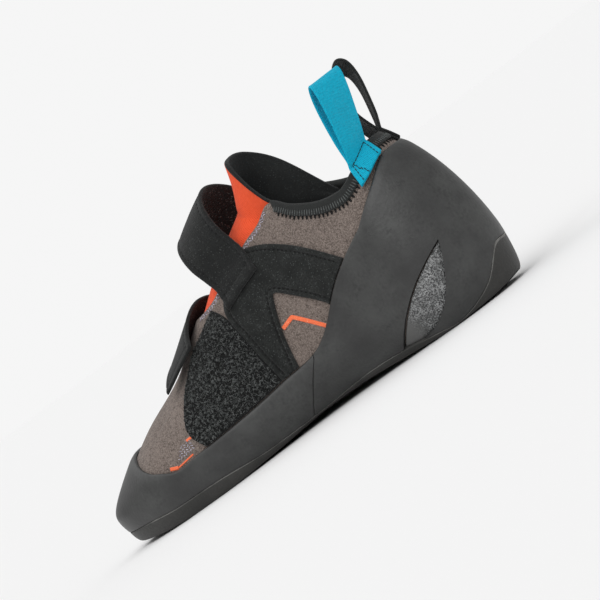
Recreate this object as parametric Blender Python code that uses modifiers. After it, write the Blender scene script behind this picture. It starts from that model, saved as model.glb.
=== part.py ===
"""A low cut rock climbing shoe for the right foot, closed by two straps that cross the instep.

Every layer is cut from one last. The last is a ring of upright strips, each standing in a vertical
plane through a hub: a fan of strips round the heel, pairs of strips along the foot and a fan round
the toe. A place on it is (t, v): t counts the strips from the heel back (0) along the medial side to
the toe tip (12) and back along the lateral side (24), and v climbs a strip from the feather line (0)
past its widest line to the ridge (1). Past 1 it comes down the opposite strip. Layers lie at a lift,
in millimetres, outside the last.

+X points to the toe, +Y to the medial side and +Z up. The origin is on the floor under the middle.
"""

import math
from collections import namedtuple

import bmesh
import bpy
import numpy as np

# Driving dimensions in millimetres, which MM takes to metres
MM = 0.001
SHOE = "climbing_shoe"
MIDDLE = np.array([127.84, 5.54, 0.0])
SUEDE = 1.6
RUBBER = 2.0
PANEL = 1.2
LOOP_PILE = 1.5
STRAP_PILE = 1.2
STRAP = 1.6
TONGUE = 2.2
WEBBING = 1.1
INSOLE = 2.2
INLAY = 1.0
SEAT = 0.35
RAND_SEAT = 0.45
SEAM_T = 0.008
SEAM_V = 0.003
STATIONS = 24
WIDEST = 0.3
TOE_FALL = 0.42
COLUMNS = 72
WELD = 0.00001

# The last: one row for each strip, med for the medial side and lat for the lateral side
Station = namedtuple(
    "Station",
    "turn hub_x hub_y ridge reach_med reach_lat feather_med feather_lat "
    "wide_med wide_lat tuck_med tuck_lat peak",
)
LAST = [
    Station(180, 50, 0, 102, 38.7, 38.7, 6, 6, 27, 27, 4, 4, 1.06),
    Station(150, 50, 0, 102, 35.9, 35.2, 6, 6, 27, 27, 5, 5, 1.04),
    Station(120, 50, 0, 102, 33.4, 32.4, 6, 6, 28, 28, 7, 7, 1.0),
    Station(90, 50, 0, 102, 32.5, 31.2, 6, 6, 29, 29, 9, 8, 1.0),
    Station(90, 75, 1, 106, 29.5, 31.5, 7, 6, 28, 27, 10, 7, 1.05),
    Station(90, 100, 2, 103, 28.5, 35.5, 8, 6, 26, 24, 11, 6, 1.1),
    Station(90, 125, 4, 91, 31.0, 40.2, 8, 6, 24, 21, 10, 5, 1.15),
    Station(90, 150, 7, 73.5, 35.0, 42.8, 7, 6, 22, 19, 7, 5, 1.15),
    Station(90, 175, 10, 56.0, 37.0, 43.3, 6, 6, 20, 18, 4, 4, 1.13),
    Station(90, 200, 12, 45.5, 35.3, 40.6, 6, 6, 18, 17, 3, 3, 1.10),
    Station(60, 200, 12, 45.5, 35.0, 39.2, 6, 6, 17, 17, 3, 3, 1.04),
    Station(30, 200, 12, 45.5, 39.9, 40.0, 6, 6, 17, 17, 3, 3, 1.0),
    Station(0, 200, 12, 45.5, 44.5, 44.5, 6, 6, 17, 17, 3, 3, 0.98),
]

# Lines drawn on the last, as v at each strip
Line = namedtuple("Line", "t med lat")
SOLE_LINE = [
    Line(0, 0.205, 0.205),
    Line(0.4, 0.20, 0.20),
    Line(1, 0.04, 0.07),
    Line(1.5, -0.02, 0.0),
    Line(2, -0.045, -0.01),
    Line(2.5, -0.045, -0.01),
    Line(3, -0.033, -0.01),
    Line(4, -0.005, 0.0),
    Line(4.7, -0.005, 0.02),
    Line(6, -0.04, 0.03),
    Line(7, -0.025, 0.04),
    Line(8, 0.04, 0.05),
    Line(9, 0.06, 0.06),
    Line(10, 0.10, 0.08),
    Line(12, 0.11, 0.11),
]
RAND_LINE = [
    Line(0, 0.66, 0.66),
    Line(1, 0.655, 0.655),
    Line(2, 0.588, 0.588),
    Line(3, 0.503, 0.503),
    Line(4, 0.415, 0.415),
    Line(5, 0.32, 0.33),
    Line(6, 0.31, 0.32),
    Line(7, 0.31, 0.32),
    Line(8, 0.325, 0.34),
    Line(8.6, 0.345, 0.36),
    Line(9, 0.43, 0.45),
    Line(10, 0.68, 0.68),
    Line(11, 0.80, 0.80),
    Line(12, 0.84, 0.84),
]
TOP_LINE = [
    Line(0, 0.735, 0.735),
    Line(1, 0.73, 0.73),
    Line(2, 0.678, 0.678),
    Line(3, 0.634, 0.634),
    Line(3.5, 0.64, 0.64),
    Line(4, 0.685, 0.685),
    Line(4.45, 0.76, 0.76),
    Line(4.8, 0.725, 0.725),
    Line(5.2, 0.72, 0.72),
    Line(6, 0.72, 0.72),
    Line(6.5, 0.745, 0.745),
    Line(6.9, 0.83, 0.83),
    Line(7.2, 0.95, 0.95),
    Line(7.4, 1.0, 1.0),
    Line(12, 1.0, 1.0),
]

# Height of the sole's edge over the floor, and of its underside along the hubs
GROUND = [
    Line(0, 3.5, 3.5),
    Line(1, 1.2, 1.2),
    Line(2, 0.2, 0.2),
    Line(3, 0.0, 0.0),
    Line(3.7, 1.0, 0.0),
    Line(5, 3.2, 1.5),
    Line(6, 3.2, 1.5),
    Line(7, 1.2, 0.5),
    Line(8, 0.0, 0.0),
    Line(9, 0.0, 0.0),
    Line(10, 0.8, 0.8),
    Line(11, 2.2, 2.2),
    Line(12, 3.0, 3.0),
]
SPINE_X = (50, 62, 100, 125, 150, 165, 200)
SPINE_UNDER = (0.0, 0.0, 2.5, 2.5, 0.6, 0.0, 0.0)
SPINE_TOP = 5.5
SOLE_ROUND = 3.0
SOLE_UNDERCUT = 0.12
FLAT_SHARE = 0.5
INSOLE_INSET = 2.0
FLOOR_GAP = 0.45

# The seam between the two rands slants: its strip at the sole line and at the rands' top line
SEAM_LOW = 6.1
SEAM_HIGH = 5.2
HEEL_UPRIGHT = 14 / 3
TOE_UPRIGHT = 20 / 3
SLANT_STEPS = 5

# The window in each side of the heel rand: two arcs between a tip and a tail, seen from the side
WINDOW_TIP = np.array([24.5, 36.5])
WINDOW_TAIL = np.array([73.0, 4.0])
WINDOW_BULGE_UP = 2.2
WINDOW_BULGE_DOWN = 12.5
WINDOW_STEPS = 9
WINDOW_DEPTH = 60.0

# The grained inlay behind each window: its strips, its top and how far its cutter stays off the middle
INLAY_FIRST = 1.2
INLAY_LAST = 4.3
INLAY_TOP = 0.37
INLAY_ROWS = 5
INLAY_FROM_Y = 5.0

# The collar binding: how far its flanges reach down from the top line and its fold stands over it
BINDING = 1.0
BINDING_SHOULDER = 0.3
BINDING_FOLD = 1.3
BINDING_GAP = 0.4
BINDING_INNER_SEAT = 0.45
BINDING_END = 13 / 3
BINDING_OUTER_FLANGE = 5.5
BINDING_INNER_FLANGE = 4.0

# The wing panel bends from the heel rand up to the throat and down to the toe rand
Bend = namedtuple("Bend", "outer_t outer_v inner_t inner_v")
WING = [
    Bend(3.60, 0.456, 4.36, 0.391),
    Bend(4.33, 0.570, 4.80, 0.455),
    Bend(5.05, 0.670, 5.08, 0.500),
    Bend(5.40, 0.705, 5.14, 0.508),
    Bend(5.80, 0.705, 5.20, 0.508),
    Bend(6.17, 0.625, 5.25, 0.492),
    Bend(6.075, 0.490, 5.34, 0.455),
    Bend(5.985, 0.390, 5.44, 0.405),
    Bend(5.93, 0.326, 5.55, 0.330),
]
LOOP_PATCH = [
    Bend(5.96, 0.317, 7.76, 0.327),
    Bend(6.02, 0.390, 7.92, 0.420),
    Bend(6.11, 0.490, 7.90, 0.500),
    Bend(6.24, 0.600, 7.65, 0.620),
    Bend(6.45, 0.700, 7.20, 0.700),
]
STRAP_PATCH = [
    Bend(5.05, 0.530, 5.80, 0.530),
    Bend(5.05, 0.600, 5.80, 0.600),
    Bend(5.10, 0.670, 5.75, 0.670),
]
SHOE_MIDDLE_Y = 5.0
SHOE_MIDDLE_Z = 30.0

# The straps: v runs over the ridge, lift is the strap's underside, t its middle
Crossing = namedtuple("Crossing", "v lift t")
STRAP_HALF = 0.44
UPPER_STRAP = [
    Crossing(0.60, 1.95, 5.62),
    Crossing(0.69, 2.1, 5.67),
    Crossing(0.745, 5.0, 5.72),
    Crossing(0.81, 11.0, 5.74),
    Crossing(0.90, 15.5, 5.72),
    Crossing(1.00, 17.0, 5.66),
    Crossing(1.10, 14.5, 5.60),
    Crossing(1.20, 9.5, 5.53),
    Crossing(1.29, 5.2, 5.46),
    Crossing(1.37, 3.6, 5.43),
    Crossing(1.47, 3.5, 5.43),
]
LOWER_STRAP = [
    Crossing(0.66, 5.6, 7.44),
    Crossing(0.77, 4.5, 7.42),
    Crossing(0.88, 3.1, 7.36),
    Crossing(1.00, 1.9, 7.30),
    Crossing(1.12, 1.0, 7.24),
    Crossing(1.30, 0.6, 7.18),
    Crossing(1.48, 0.45, 7.12),
    Crossing(1.64, 0.45, 7.10),
]

# The tongue: arches that lie inside the throat, then rings that stand up in front of the ankle.
# A ring runs from the collar's medial side over the middle to the lateral side
Arch = namedtuple("Arch", "t_mid t_side v_side lift_mid lift_side")
Place = namedtuple("Place", "x y z")
TONGUE_ARCHES = [
    Arch(7.10, 7.05, 0.74, -4.8, -4.8),
    Arch(6.40, 6.35, 0.64, -4.6, -4.7),
    Arch(5.70, 5.60, 0.61, -4.4, -4.7),
    Arch(5.25, 5.05, 0.60, -3.5, -5.2),
]
TONGUE_RINGS = [
    [
        Place(66, 14.5, 74.0),
        Place(86, 10.7, 86.0),
        Place(99.8, 9.0, 97.3),
        Place(101.8, 1.5, 102.3),
        Place(99.8, -6.0, 97.3),
        Place(86, -7.7, 86.0),
        Place(66, -12.5, 74.0),
    ],
    [
        Place(66, 14.2, 76.5),
        Place(85, 10.5, 91.3),
        Place(95, 9.9, 106.0),
        Place(97, 1.5, 111.5),
        Place(94.5, -7.0, 107.0),
        Place(82.5, -9.0, 96.5),
        Place(66, -12.3, 77.0),
    ],
    [
        Place(66, 14.0, 79.0),
        Place(86, 10.6, 96.0),
        Place(91, 11.0, 117.0),
        Place(93, 1.5, 121.5),
        Place(90, -8.8, 119.5),
        Place(80, -13.5, 107.0),
        Place(66, -12.3, 80.5),
    ],
]

# The pull loops: a folded webbing, up is along the collar, out is its middle's lift
Fold = namedtuple("Fold", "up out")
PULL_T_FRONT = 2.22
PULL_T_BACK = 0.96
PULL_STRAIGHTENS = 0.8
PULL_FLAT_FROM = 8.0
Lean = namedtuple("Lean", "side finish heelwards turn_y turn_z")
PULL_LEANS = [
    Lean("medial", "blue_webbing", 10.0, 4.4, 3.0),
    Lean("lateral", "black_webbing", 5.5, 0.0, 0.0),
]
PULL_LOOP = [
    Fold(-8.6, 2.25),
    Fold(-4.0, 2.25),
    Fold(1.0, 2.25),
    Fold(5.0, 0.2),
    Fold(14.0, -4.2),
    Fold(26.0, -6.2),
    Fold(34.5, -4.6),
    Fold(38.5, 0.0),
    Fold(35.5, 4.8),
    Fold(27.0, 6.6),
    Fold(14.0, 5.6),
    Fold(5.0, 4.2),
    Fold(0.0, 3.65),
    Fold(-4.0, 3.65),
    Fold(-8.6, 3.65),
]

# Surface finishes: colour, roughness
Finish = namedtuple("Finish", "colour roughness")
FINISHES = {
    "sole_rubber": Finish((0.040, 0.039, 0.037), 0.62),
    "rand_rubber": Finish((0.052, 0.053, 0.053), 0.58),
    "grained_rubber": Finish((0.095, 0.096, 0.096), 0.38),
    "suede": Finish((0.178, 0.144, 0.130), 0.95),
    "microsuede": Finish((0.024, 0.025, 0.025), 0.85),
    "loop_pile": Finish((0.022, 0.023, 0.023), 1.0),
    "strap_web": Finish((0.030, 0.032, 0.031), 0.80),
    "binding_knit": Finish((0.016, 0.017, 0.017), 0.85),
    "stretch_orange": Finish((0.90, 0.10, 0.030), 0.75),
    "blue_webbing": Finish((0.006, 0.310, 0.470), 0.60),
    "black_webbing": Finish((0.011, 0.012, 0.012), 0.65),
    "insole_board": Finish((0.060, 0.058, 0.056), 0.90),
}


# Smooth lines through short tables


def hermite(xs, ys):
    """Cubic through (xs, ys) with slopes from the neighbours; ys may be rows of numbers."""
    xs = np.array(xs, float)
    ys = np.array(ys, float)
    slopes = np.gradient(ys, xs, axis=0)

    def value(x):
        x = min(max(x, xs[0]), xs[-1])
        i = min(int(np.searchsorted(xs, x, side="right")) - 1, len(xs) - 2)
        h = xs[i + 1] - xs[i]
        b = (x - xs[i]) / h
        a = 1 - b
        ends = ys[i] * a * a * (1 + 2 * b) + ys[i + 1] * b * b * (1 + 2 * a)
        return ends + h * a * b * (slopes[i] * a - slopes[i + 1] * b)

    return value


# The last as a surface


def round_curve(medial, lateral):
    """Periodic cubic in t through one value for each strip round the shoe."""
    y = np.array(list(medial) + list(lateral)[-2:0:-1], float)
    unit = np.eye(STATIONS)
    system = 4 * unit + np.roll(unit, 1, 0) + np.roll(unit, -1, 0)
    bend = np.linalg.solve(system, 6 * (np.roll(y, -1) - 2 * y + np.roll(y, 1)))

    def value(t):
        t = t % STATIONS
        i = int(t)
        j = (i + 1) % STATIONS
        b = t - i
        a = 1 - b
        return a * y[i] + b * y[j] + ((a**3 - a) * bend[i] + (b**3 - b) * bend[j]) / 6

    return value


def column(name, side=""):
    return [getattr(row, name + side) for row in LAST]


def paired_curve(name):
    return round_curve(column(name, "_med"), column(name, "_lat"))


MEDIAL_HUB = 3
TOE_HUB = 9
TOE = 12
hub_rows = LAST[MEDIAL_HUB : TOE_HUB + 1]
hub_ts = range(MEDIAL_HUB, TOE_HUB + 1)
hub_y_at = hermite(hub_ts, [row.hub_y for row in hub_rows])
ridge_at = hermite(hub_ts, [row.ridge for row in hub_rows])
peak = round_curve(column("peak"), column("peak"))
reach = paired_curve("reach")
feather = paired_curve("feather")
wide = paired_curve("wide")
tuck = paired_curve("tuck")


def fold(t):
    """The strip's number counted from the heel back on its own side."""
    t = t % STATIONS
    return min(t, STATIONS - t)


def turn(t):
    angle = np.interp(fold(t), range(len(LAST)), column("turn"))
    return math.radians(angle if t % STATIONS <= TOE else -angle)


def hub(t):
    t = fold(t)
    x = np.interp(t, range(len(LAST)), column("hub_x"))
    return np.array([x, hub_y_at(t)])


def wall(t, v):
    """Point on the last, in millimetres."""
    if v > 1:
        t = STATIONS - t
        v = 2 - v
    climb = v / WIDEST
    angle = turn(t)
    away = np.array([math.cos(angle), math.sin(angle)])
    if climb < 1:
        radius = reach(t) - tuck(t) * (1 - climb) ** 2
        z = feather(t) + (wide(t) - feather(t)) * climb
    else:
        rise = (v - WIDEST) / (1 - WIDEST) * math.pi / 2
        radius = reach(t) * max(math.cos(rise), 0.0) ** peak(t)
        z = wide(t) + (ridge_at(fold(t)) - wide(t)) * math.sin(rise)
        z -= TOE_FALL * max(away[0], 0.0) * radius * math.sin(rise)
    return np.array([*(hub(t) + away * radius), z])


def unit(vector):
    return vector / np.linalg.norm(vector)


def outward(t, v, step=0.01):
    """Unit normal of the last."""
    climb = wall(t, v + step) - wall(t, v - step)
    along = wall(t + step, v) - wall(t - step, v)
    return unit(np.cross(climb, along))


def skin(t, v, lift):
    return wall(t, v) + lift * outward(t, v)


def climb_length(t, v, step=0.01):
    """Millimetres of wall for one unit of v."""
    return np.linalg.norm(wall(t, v + step) - wall(t, v - step)) / (2 * step)


def two_sided(rows):
    """A line in t that reads the medial column up to the toe and the lateral column after it."""
    ts = [row.t for row in rows]
    medial = hermite(ts, [row.med for row in rows])
    lateral = hermite(ts, [row.lat for row in rows])

    def value(t):
        t = t % STATIONS
        return medial(t) if t <= TOE else lateral(STATIONS - t)

    return value


def even_table(rows):
    """A smooth curve through the rows, from 0 at the first to 1 at the last."""
    return hermite(np.linspace(0, 1, len(rows)), rows)


sole_line = two_sided(SOLE_LINE)
rand_line = two_sided(RAND_LINE)
throat_line = two_sided(TOP_LINE)


def top_line(t):
    """The upper's edge: the collar and the throat, then the ridge where its two sides meet."""
    return min(throat_line(t), 1.0)


def ground(t):
    medial = t % STATIONS <= TOE
    heights = [row.med if medial else row.lat for row in GROUND]
    return np.interp(fold(t), [row.t for row in GROUND], heights)


def mix(a, b, share):
    return a + (b - a) * share


# Blender objects


def clear_scene():
    for old in list(bpy.data.objects):
        bpy.data.objects.remove(old, do_unlink=True)


def new_collection(name):
    group = bpy.data.collections.new(name)
    bpy.context.scene.collection.children.link(group)
    return group


def material(name):
    look = FINISHES[name]
    made = bpy.data.materials.get(name) or bpy.data.materials.new(name)
    made.use_nodes = True
    shader = made.node_tree.nodes["Principled BSDF"]
    shader.inputs["Base Color"].default_value = (*look.colour, 1.0)
    shader.inputs["Roughness"].default_value = look.roughness
    shader.inputs["Metallic"].default_value = 0.0
    return made


def new_object(name, mesh_data, finish, group):
    """Names a bmesh as a part, with its finish, and frees it."""
    mesh = bpy.data.meshes.new(name)
    mesh_data.to_mesh(mesh)
    mesh_data.free()
    mesh.shade_smooth()
    mesh.set_sharp_from_angle(angle=math.radians(40))
    part = bpy.data.objects.new(name, mesh)
    part.data.materials.append(material(finish))
    group.objects.link(part)
    return part


def grid_mesh(grid, closed_t=False, closed_v=False):
    """Quads over a grid of points in t and v, pointing out of the last."""
    made = bmesh.new()
    verts = [[made.verts.new((p - MIDDLE) * MM) for p in strip] for strip in grid]
    strips = len(verts)
    rows = len(verts[0])
    for i in range(strips if closed_t else strips - 1):
        here = verts[i]
        there = verts[(i + 1) % strips]
        for j in range(rows if closed_v else rows - 1):
            k = (j + 1) % rows
            made.faces.new((here[j], here[k], there[k], there[j]))
    return made, verts


def sheet(name, grid, thickness, finish, group, outwards=1.0, closed_t=False):
    """An open sheet on the last with Solidify; outwards is 1 outside it, -1 inside and 0 astride."""
    made, _ = grid_mesh(grid, closed_t)
    bmesh.ops.remove_doubles(made, verts=made.verts, dist=WELD)
    part = new_object(name, made, finish, group)
    wall_thickness = part.modifiers.new("thickness", "SOLIDIFY")
    wall_thickness.thickness = thickness * MM
    wall_thickness.offset = outwards
    wall_thickness.use_even_offset = True
    return part


def plate(name, columns, finish, group):
    """A solid whose columns start and end on the hub line, such as a sole."""
    made, _ = grid_mesh(columns, closed_t=True)
    bmesh.ops.remove_doubles(made, verts=made.verts, dist=WELD)
    bmesh.ops.recalc_face_normals(made, faces=made.faces)
    return new_object(name, made, finish, group)


def sweep(name, rings, finish, group):
    """A solid with one closed ring of points at each station and a cap at each end."""
    made, verts = grid_mesh(rings, closed_v=True)
    made.faces.new(verts[0])
    made.faces.new(list(reversed(verts[-1])))
    bmesh.ops.recalc_face_normals(made, faces=made.faces)
    return new_object(name, made, finish, group)


def cut(part, cutter, operation):
    boolean = part.modifiers.new(operation.lower(), "BOOLEAN")
    boolean.operation = operation
    boolean.solver = "EXACT"
    boolean.object = cutter


# The pieces


def ring_steps(first, last, per_strip=3):
    return np.linspace(first, last, round((last - first) * per_strip) + 1)


def build_upper(group):
    rows = 10
    ts = np.arange(COLUMNS) * STATIONS / COLUMNS
    grid = [[wall(t, top_line(t) * j / rows) for j in range(rows + 1)] for t in ts]
    return sheet("upper", grid, SUEDE, "suede", group, outwards=-1.0, closed_t=True)


def sole_column(t):
    """Half a cross section: out along the underside, up the edge, and back under the upper."""
    line = sole_line(t) - SEAM_V
    edge = skin(t, line, RAND_SEAT + RUBBER)
    middle = hub(t)
    under = np.interp(middle[0], SPINE_X, SPINE_UNDER)
    low = ground(t)
    away = unit(edge[:2] - middle)
    corner_radius = np.linalg.norm(edge[:2] - middle) - SOLE_UNDERCUT * (edge[2] - low)
    flat_radius = corner_radius - SOLE_ROUND

    def at(radius, z):
        return np.array([*(middle + away * radius), z])

    def underside(share):
        lift = max(0.0, (share - FLAT_SHARE) / (1 - FLAT_SHARE)) ** 2
        return at(flat_radius * share, mix(under, low, lift))

    def rounded(share):
        outer = mix(at(flat_radius, low), at(corner_radius, low), share)
        return mix(outer, mix(at(corner_radius, low), edge, share), share)

    inside = SEAT if line > 0 else 0.0
    drop = np.array([0.0, 0.0, FLOOR_GAP])
    corner = skin(t, 0.0, inside - SEAT / 2) - drop
    rim = skin(t, 0.0, -SUEDE / 2)
    rim[2] = feather(t) - FLOOR_GAP
    spine = np.array([*middle, SPINE_TOP])
    column = [underside(share) for share in (0.0, FLAT_SHARE, 0.78)]
    column += [rounded(share) for share in (0.0, 0.35, 0.7, 1.0)]
    column += [skin(t, line, inside), skin(t, line / 2, inside), corner, rim]
    column += [mix(rim, spine, share) for share in (0.5, 1.0)]
    return column


def build_outsole(group):
    ts = np.arange(COLUMNS) * STATIONS / COLUMNS
    return plate("outsole", [sole_column(t) for t in ts], "sole_rubber", group)


def build_insole(group):
    columns = []
    for t in np.arange(COLUMNS) * STATIONS / COLUMNS:
        rim = wall(t, 0.0)
        middle = np.array([*hub(t), SPINE_TOP + FLOOR_GAP])
        inwards = unit(middle[:2] - rim[:2])
        rim[:2] += INSOLE_INSET * inwards
        rise = np.array([0.0, 0.0, INSOLE])
        columns.append([middle, rim, rim + rise, middle + rise])
    return plate("insole", columns, "insole_board", group)


def rand_grid(first, last, ends, rows):
    """Rubber from the sole line to the rands' top line: upright strips from first to last, then
    strips that slant to the seams; ends gives t at both seams for a share of the height."""
    upright = ring_steps(first, last)
    grid = []
    for share in np.linspace(0, 1, SLANT_STEPS)[:-1]:
        grid.append([mix(ends(j / rows)[0], first, share) for j in range(rows + 1)])
    grid += [[t] * (rows + 1) for t in upright]
    for share in np.linspace(0, 1, SLANT_STEPS)[1:]:
        grid.append([mix(last, ends(j / rows)[1], share) for j in range(rows + 1)])
    return [[rand_point(t, j / rows) for j, t in enumerate(strip)] for strip in grid]


def rand_point(t, height):
    return skin(t, mix(sole_line(t) + SEAM_V, rand_line(t), height), RAND_SEAT)


def toe_ends(height):
    start = mix(SEAM_LOW, SEAM_HIGH, height) + SEAM_T
    return start, STATIONS - start


def heel_ends(height):
    stop = mix(SEAM_LOW, SEAM_HIGH, height) - SEAM_T
    return -stop, stop


def window_prism(name, group, shrink, y_from, y_to):
    """The heel window seen from the side, drawn out across the shoe."""
    chord = WINDOW_TAIL - WINDOW_TIP
    length = np.linalg.norm(chord)
    along = chord / length
    upright = np.array([-along[1], along[0]])
    shares = np.linspace(0, 1, WINDOW_STEPS)
    outline = []
    for bulge, order in ((WINDOW_BULGE_UP, shares), (-WINDOW_BULGE_DOWN, shares[::-1])):
        side = math.copysign(max(abs(bulge) - shrink, 0.0), bulge)
        for share in order[:-1]:
            place = mix(shrink, length - shrink, share)
            outline.append(WINDOW_TIP + along * place + upright * side * 4 * share * (1 - share))
    rings = [[np.array([x, y, z]) for x, z in outline] for y in (y_from, y_to)]
    prism = sweep(name, rings, "grained_rubber", group)
    prism.hide_render = True
    prism.display_type = "WIRE"
    return prism


def build_rands(group, cutters):
    toe_grid = rand_grid(TOE_UPRIGHT, STATIONS - TOE_UPRIGHT, toe_ends, 7)
    sheet("toe_rand", toe_grid, RUBBER, "rand_rubber", group)
    heel_grid = rand_grid(-HEEL_UPRIGHT, HEEL_UPRIGHT, heel_ends, 6)
    heel = sheet("heel_rand", heel_grid, RUBBER, "rand_rubber", group)
    window = window_prism("heel_window", cutters, 0.0, -WINDOW_DEPTH, WINDOW_DEPTH)
    cut(heel, window, "DIFFERENCE")
    first_last = (INLAY_FIRST, INLAY_LAST)
    mirrored = (STATIONS - INLAY_LAST, STATIONS - INLAY_FIRST)
    for side, strips, way in (("medial", first_last, 1), ("lateral", mirrored, -1)):
        grid = []
        for t in ring_steps(*strips):
            low = sole_line(t) + SEAM_V
            heights = [mix(low, INLAY_TOP, j / INLAY_ROWS) for j in range(INLAY_ROWS + 1)]
            grid.append([skin(t, v, SEAT) for v in heights])
        inlay = sheet("heel_inlay_" + side, grid, INLAY, "grained_rubber", group)
        y_from, y_to = sorted((way * INLAY_FROM_Y, way * WINDOW_DEPTH))
        opening = window_prism("inlay_window_" + side, cutters, SEAT, y_from, y_to)
        cut(inlay, opening, "INTERSECT")


def build_binding(group):
    """A folded band over the collar edge, from one front corner round the heel to the other."""
    inside = -SUEDE - BINDING_INNER_SEAT
    section = [
        (-BINDING_OUTER_FLANGE, SEAT + BINDING),
        (BINDING_SHOULDER, SEAT + BINDING),
        (BINDING_FOLD, SEAT),
        (BINDING_FOLD, inside),
        (BINDING_SHOULDER, inside - BINDING),
        (-BINDING_INNER_FLANGE, inside - BINDING),
        (-BINDING_INNER_FLANGE, inside),
        (BINDING_GAP, inside),
        (BINDING_GAP, SEAT),
        (-BINDING_OUTER_FLANGE, SEAT),
    ]
    rings = []
    for t in ring_steps(-BINDING_END, BINDING_END):
        edge = top_line(t)
        scale = climb_length(t, edge)
        rings.append([skin(t, edge + up / scale, lift) for up, lift in section])
    return sweep("collar_binding", rings, "binding_knit", group)


def bend_grid(rows, lift, steps, across, mirrored=False):
    """A panel between two edges that are given row by row."""
    edges = even_table(rows)
    grid = []
    for share in np.linspace(0, 1, steps):
        outer_t, outer_v, inner_t, inner_v = edges(share)
        strip = []
        for j in range(across + 1):
            t = mix(outer_t, inner_t, j / across)
            v = mix(outer_v, inner_v, j / across)
            strip.append(skin(STATIONS - t if mirrored else t, v, lift))
        grid.append(strip)
    return grid


def facing_out(grid):
    """Turns the order of a panel's rows so that its faces point away from the shoe's middle."""
    corner = grid[0][0]
    normal = np.cross(grid[0][1] - corner, grid[1][0] - corner)
    middle = np.array([corner[0], SHOE_MIDDLE_Y, SHOE_MIDDLE_Z])
    if np.dot(normal, corner - middle) < 0:
        return [list(reversed(strip)) for strip in grid]
    return grid


def build_panels(group):
    for side, mirrored in (("medial", False), ("lateral", True)):
        grid = facing_out(bend_grid(WING, SEAT, steps=17, across=4, mirrored=mirrored))
        sheet("wing_panel_" + side, grid, PANEL, "microsuede", group)
    patch = facing_out(bend_grid(LOOP_PATCH, SEAT, steps=7, across=7))
    sheet("loop_patch_medial", patch, LOOP_PILE, "loop_pile", group)
    on_wing = 2 * SEAT + PANEL
    patch = facing_out(bend_grid(STRAP_PATCH, on_wing, steps=5, across=4, mirrored=True))
    sheet("loop_patch_lateral", patch, STRAP_PILE, "loop_pile", group)


def strap_grid(rows, steps):
    crossing = even_table(rows)
    grid = []
    for side in np.linspace(-STRAP_HALF, STRAP_HALF, 4):
        strip = []
        for share in np.linspace(0, 1, steps):
            v, lift, t = crossing(share)
            strip.append(skin(t + side, v, lift))
        grid.append(strip)
    return grid


def build_straps(group):
    sheet("upper_strap", strap_grid(UPPER_STRAP, steps=22), STRAP, "strap_web", group)
    sheet("lower_strap", strap_grid(LOWER_STRAP, steps=20), STRAP, "strap_web", group)


def tongue_line(side):
    """The tongue from its toe end up, at a share of its width: 1 is medial and -1 lateral."""
    fall = 1 - math.cos(side * math.pi / 2)
    points = []
    for arch in TONGUE_ARCHES:
        t = mix(arch.t_mid, arch.t_side, fall)
        v = 1 - (1 - arch.v_side) * side
        points.append(skin(t, v, mix(arch.lift_mid, arch.lift_side, fall)))
    points += [even_table(ring)((1 - side) / 2) for ring in TONGUE_RINGS]
    return even_table(points)


def build_tongue(group):
    lines = [tongue_line(side) for side in np.linspace(1, -1, 15)]
    grid = [[line(share) for line in lines] for share in np.linspace(1, 0, 12)]
    return sheet("tongue", grid, TONGUE, "stretch_orange", group)


def pull_grid(pose):
    """The folded webbing: its foot lies on the collar, its loop stands up and leans as it hangs."""
    fold_at = even_table(PULL_LOOP)
    highest = max(fold.up for fold in PULL_LOOP)
    ts = np.linspace(PULL_T_BACK, PULL_T_FRONT, 4)
    if pose.side == "lateral":
        ts = STATIONS - ts
    feet = [wall(t, top_line(t)) for t in ts]
    flat_out = unit(outward(ts.mean(), top_line(ts.mean())) * (1, 1, 0))
    grid = []
    for i, t in enumerate(ts):
        edge = top_line(t)
        scale = climb_length(t, edge)
        across = i / (len(ts) - 1)
        chord = mix(feet[0], feet[-1], across)
        twist = np.array([0.0, pose.turn_y, pose.turn_z]) * (2 * across - 1)
        strip = []
        for share in np.linspace(0, 1, 29):
            up, out = fold_at(share)
            if up <= 0:
                strip.append(skin(t, edge + up / scale, out))
                continue
            height = up / highest
            foot = mix(feet[i], chord, PULL_STRAIGHTENS * height)
            level = np.array([-pose.heelwards * height, 0.0, up]) + twist * height
            lean = mix(outward(t, edge), flat_out, min(1.0, up / PULL_FLAT_FROM))
            strip.append(foot + level + lean * out)
        grid.append(strip)
    return grid


def build_pull_loops(group):
    for pose in PULL_LEANS:
        sheet("pull_loop_" + pose.side, pull_grid(pose), WEBBING, pose.finish, group, outwards=0.0)


def main():
    clear_scene()
    group = new_collection(SHOE)
    cutters = new_collection("cutters")
    cutters.hide_render = True
    build_outsole(group)
    build_upper(group)
    build_insole(group)
    build_rands(group, cutters)
    build_binding(group)
    build_panels(group)
    build_tongue(group)
    build_straps(group)
    build_pull_loops(group)


main()
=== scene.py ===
import math
from collections import namedtuple

import bmesh
import bpy
import numpy as np
from mathutils import Matrix, Vector


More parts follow.
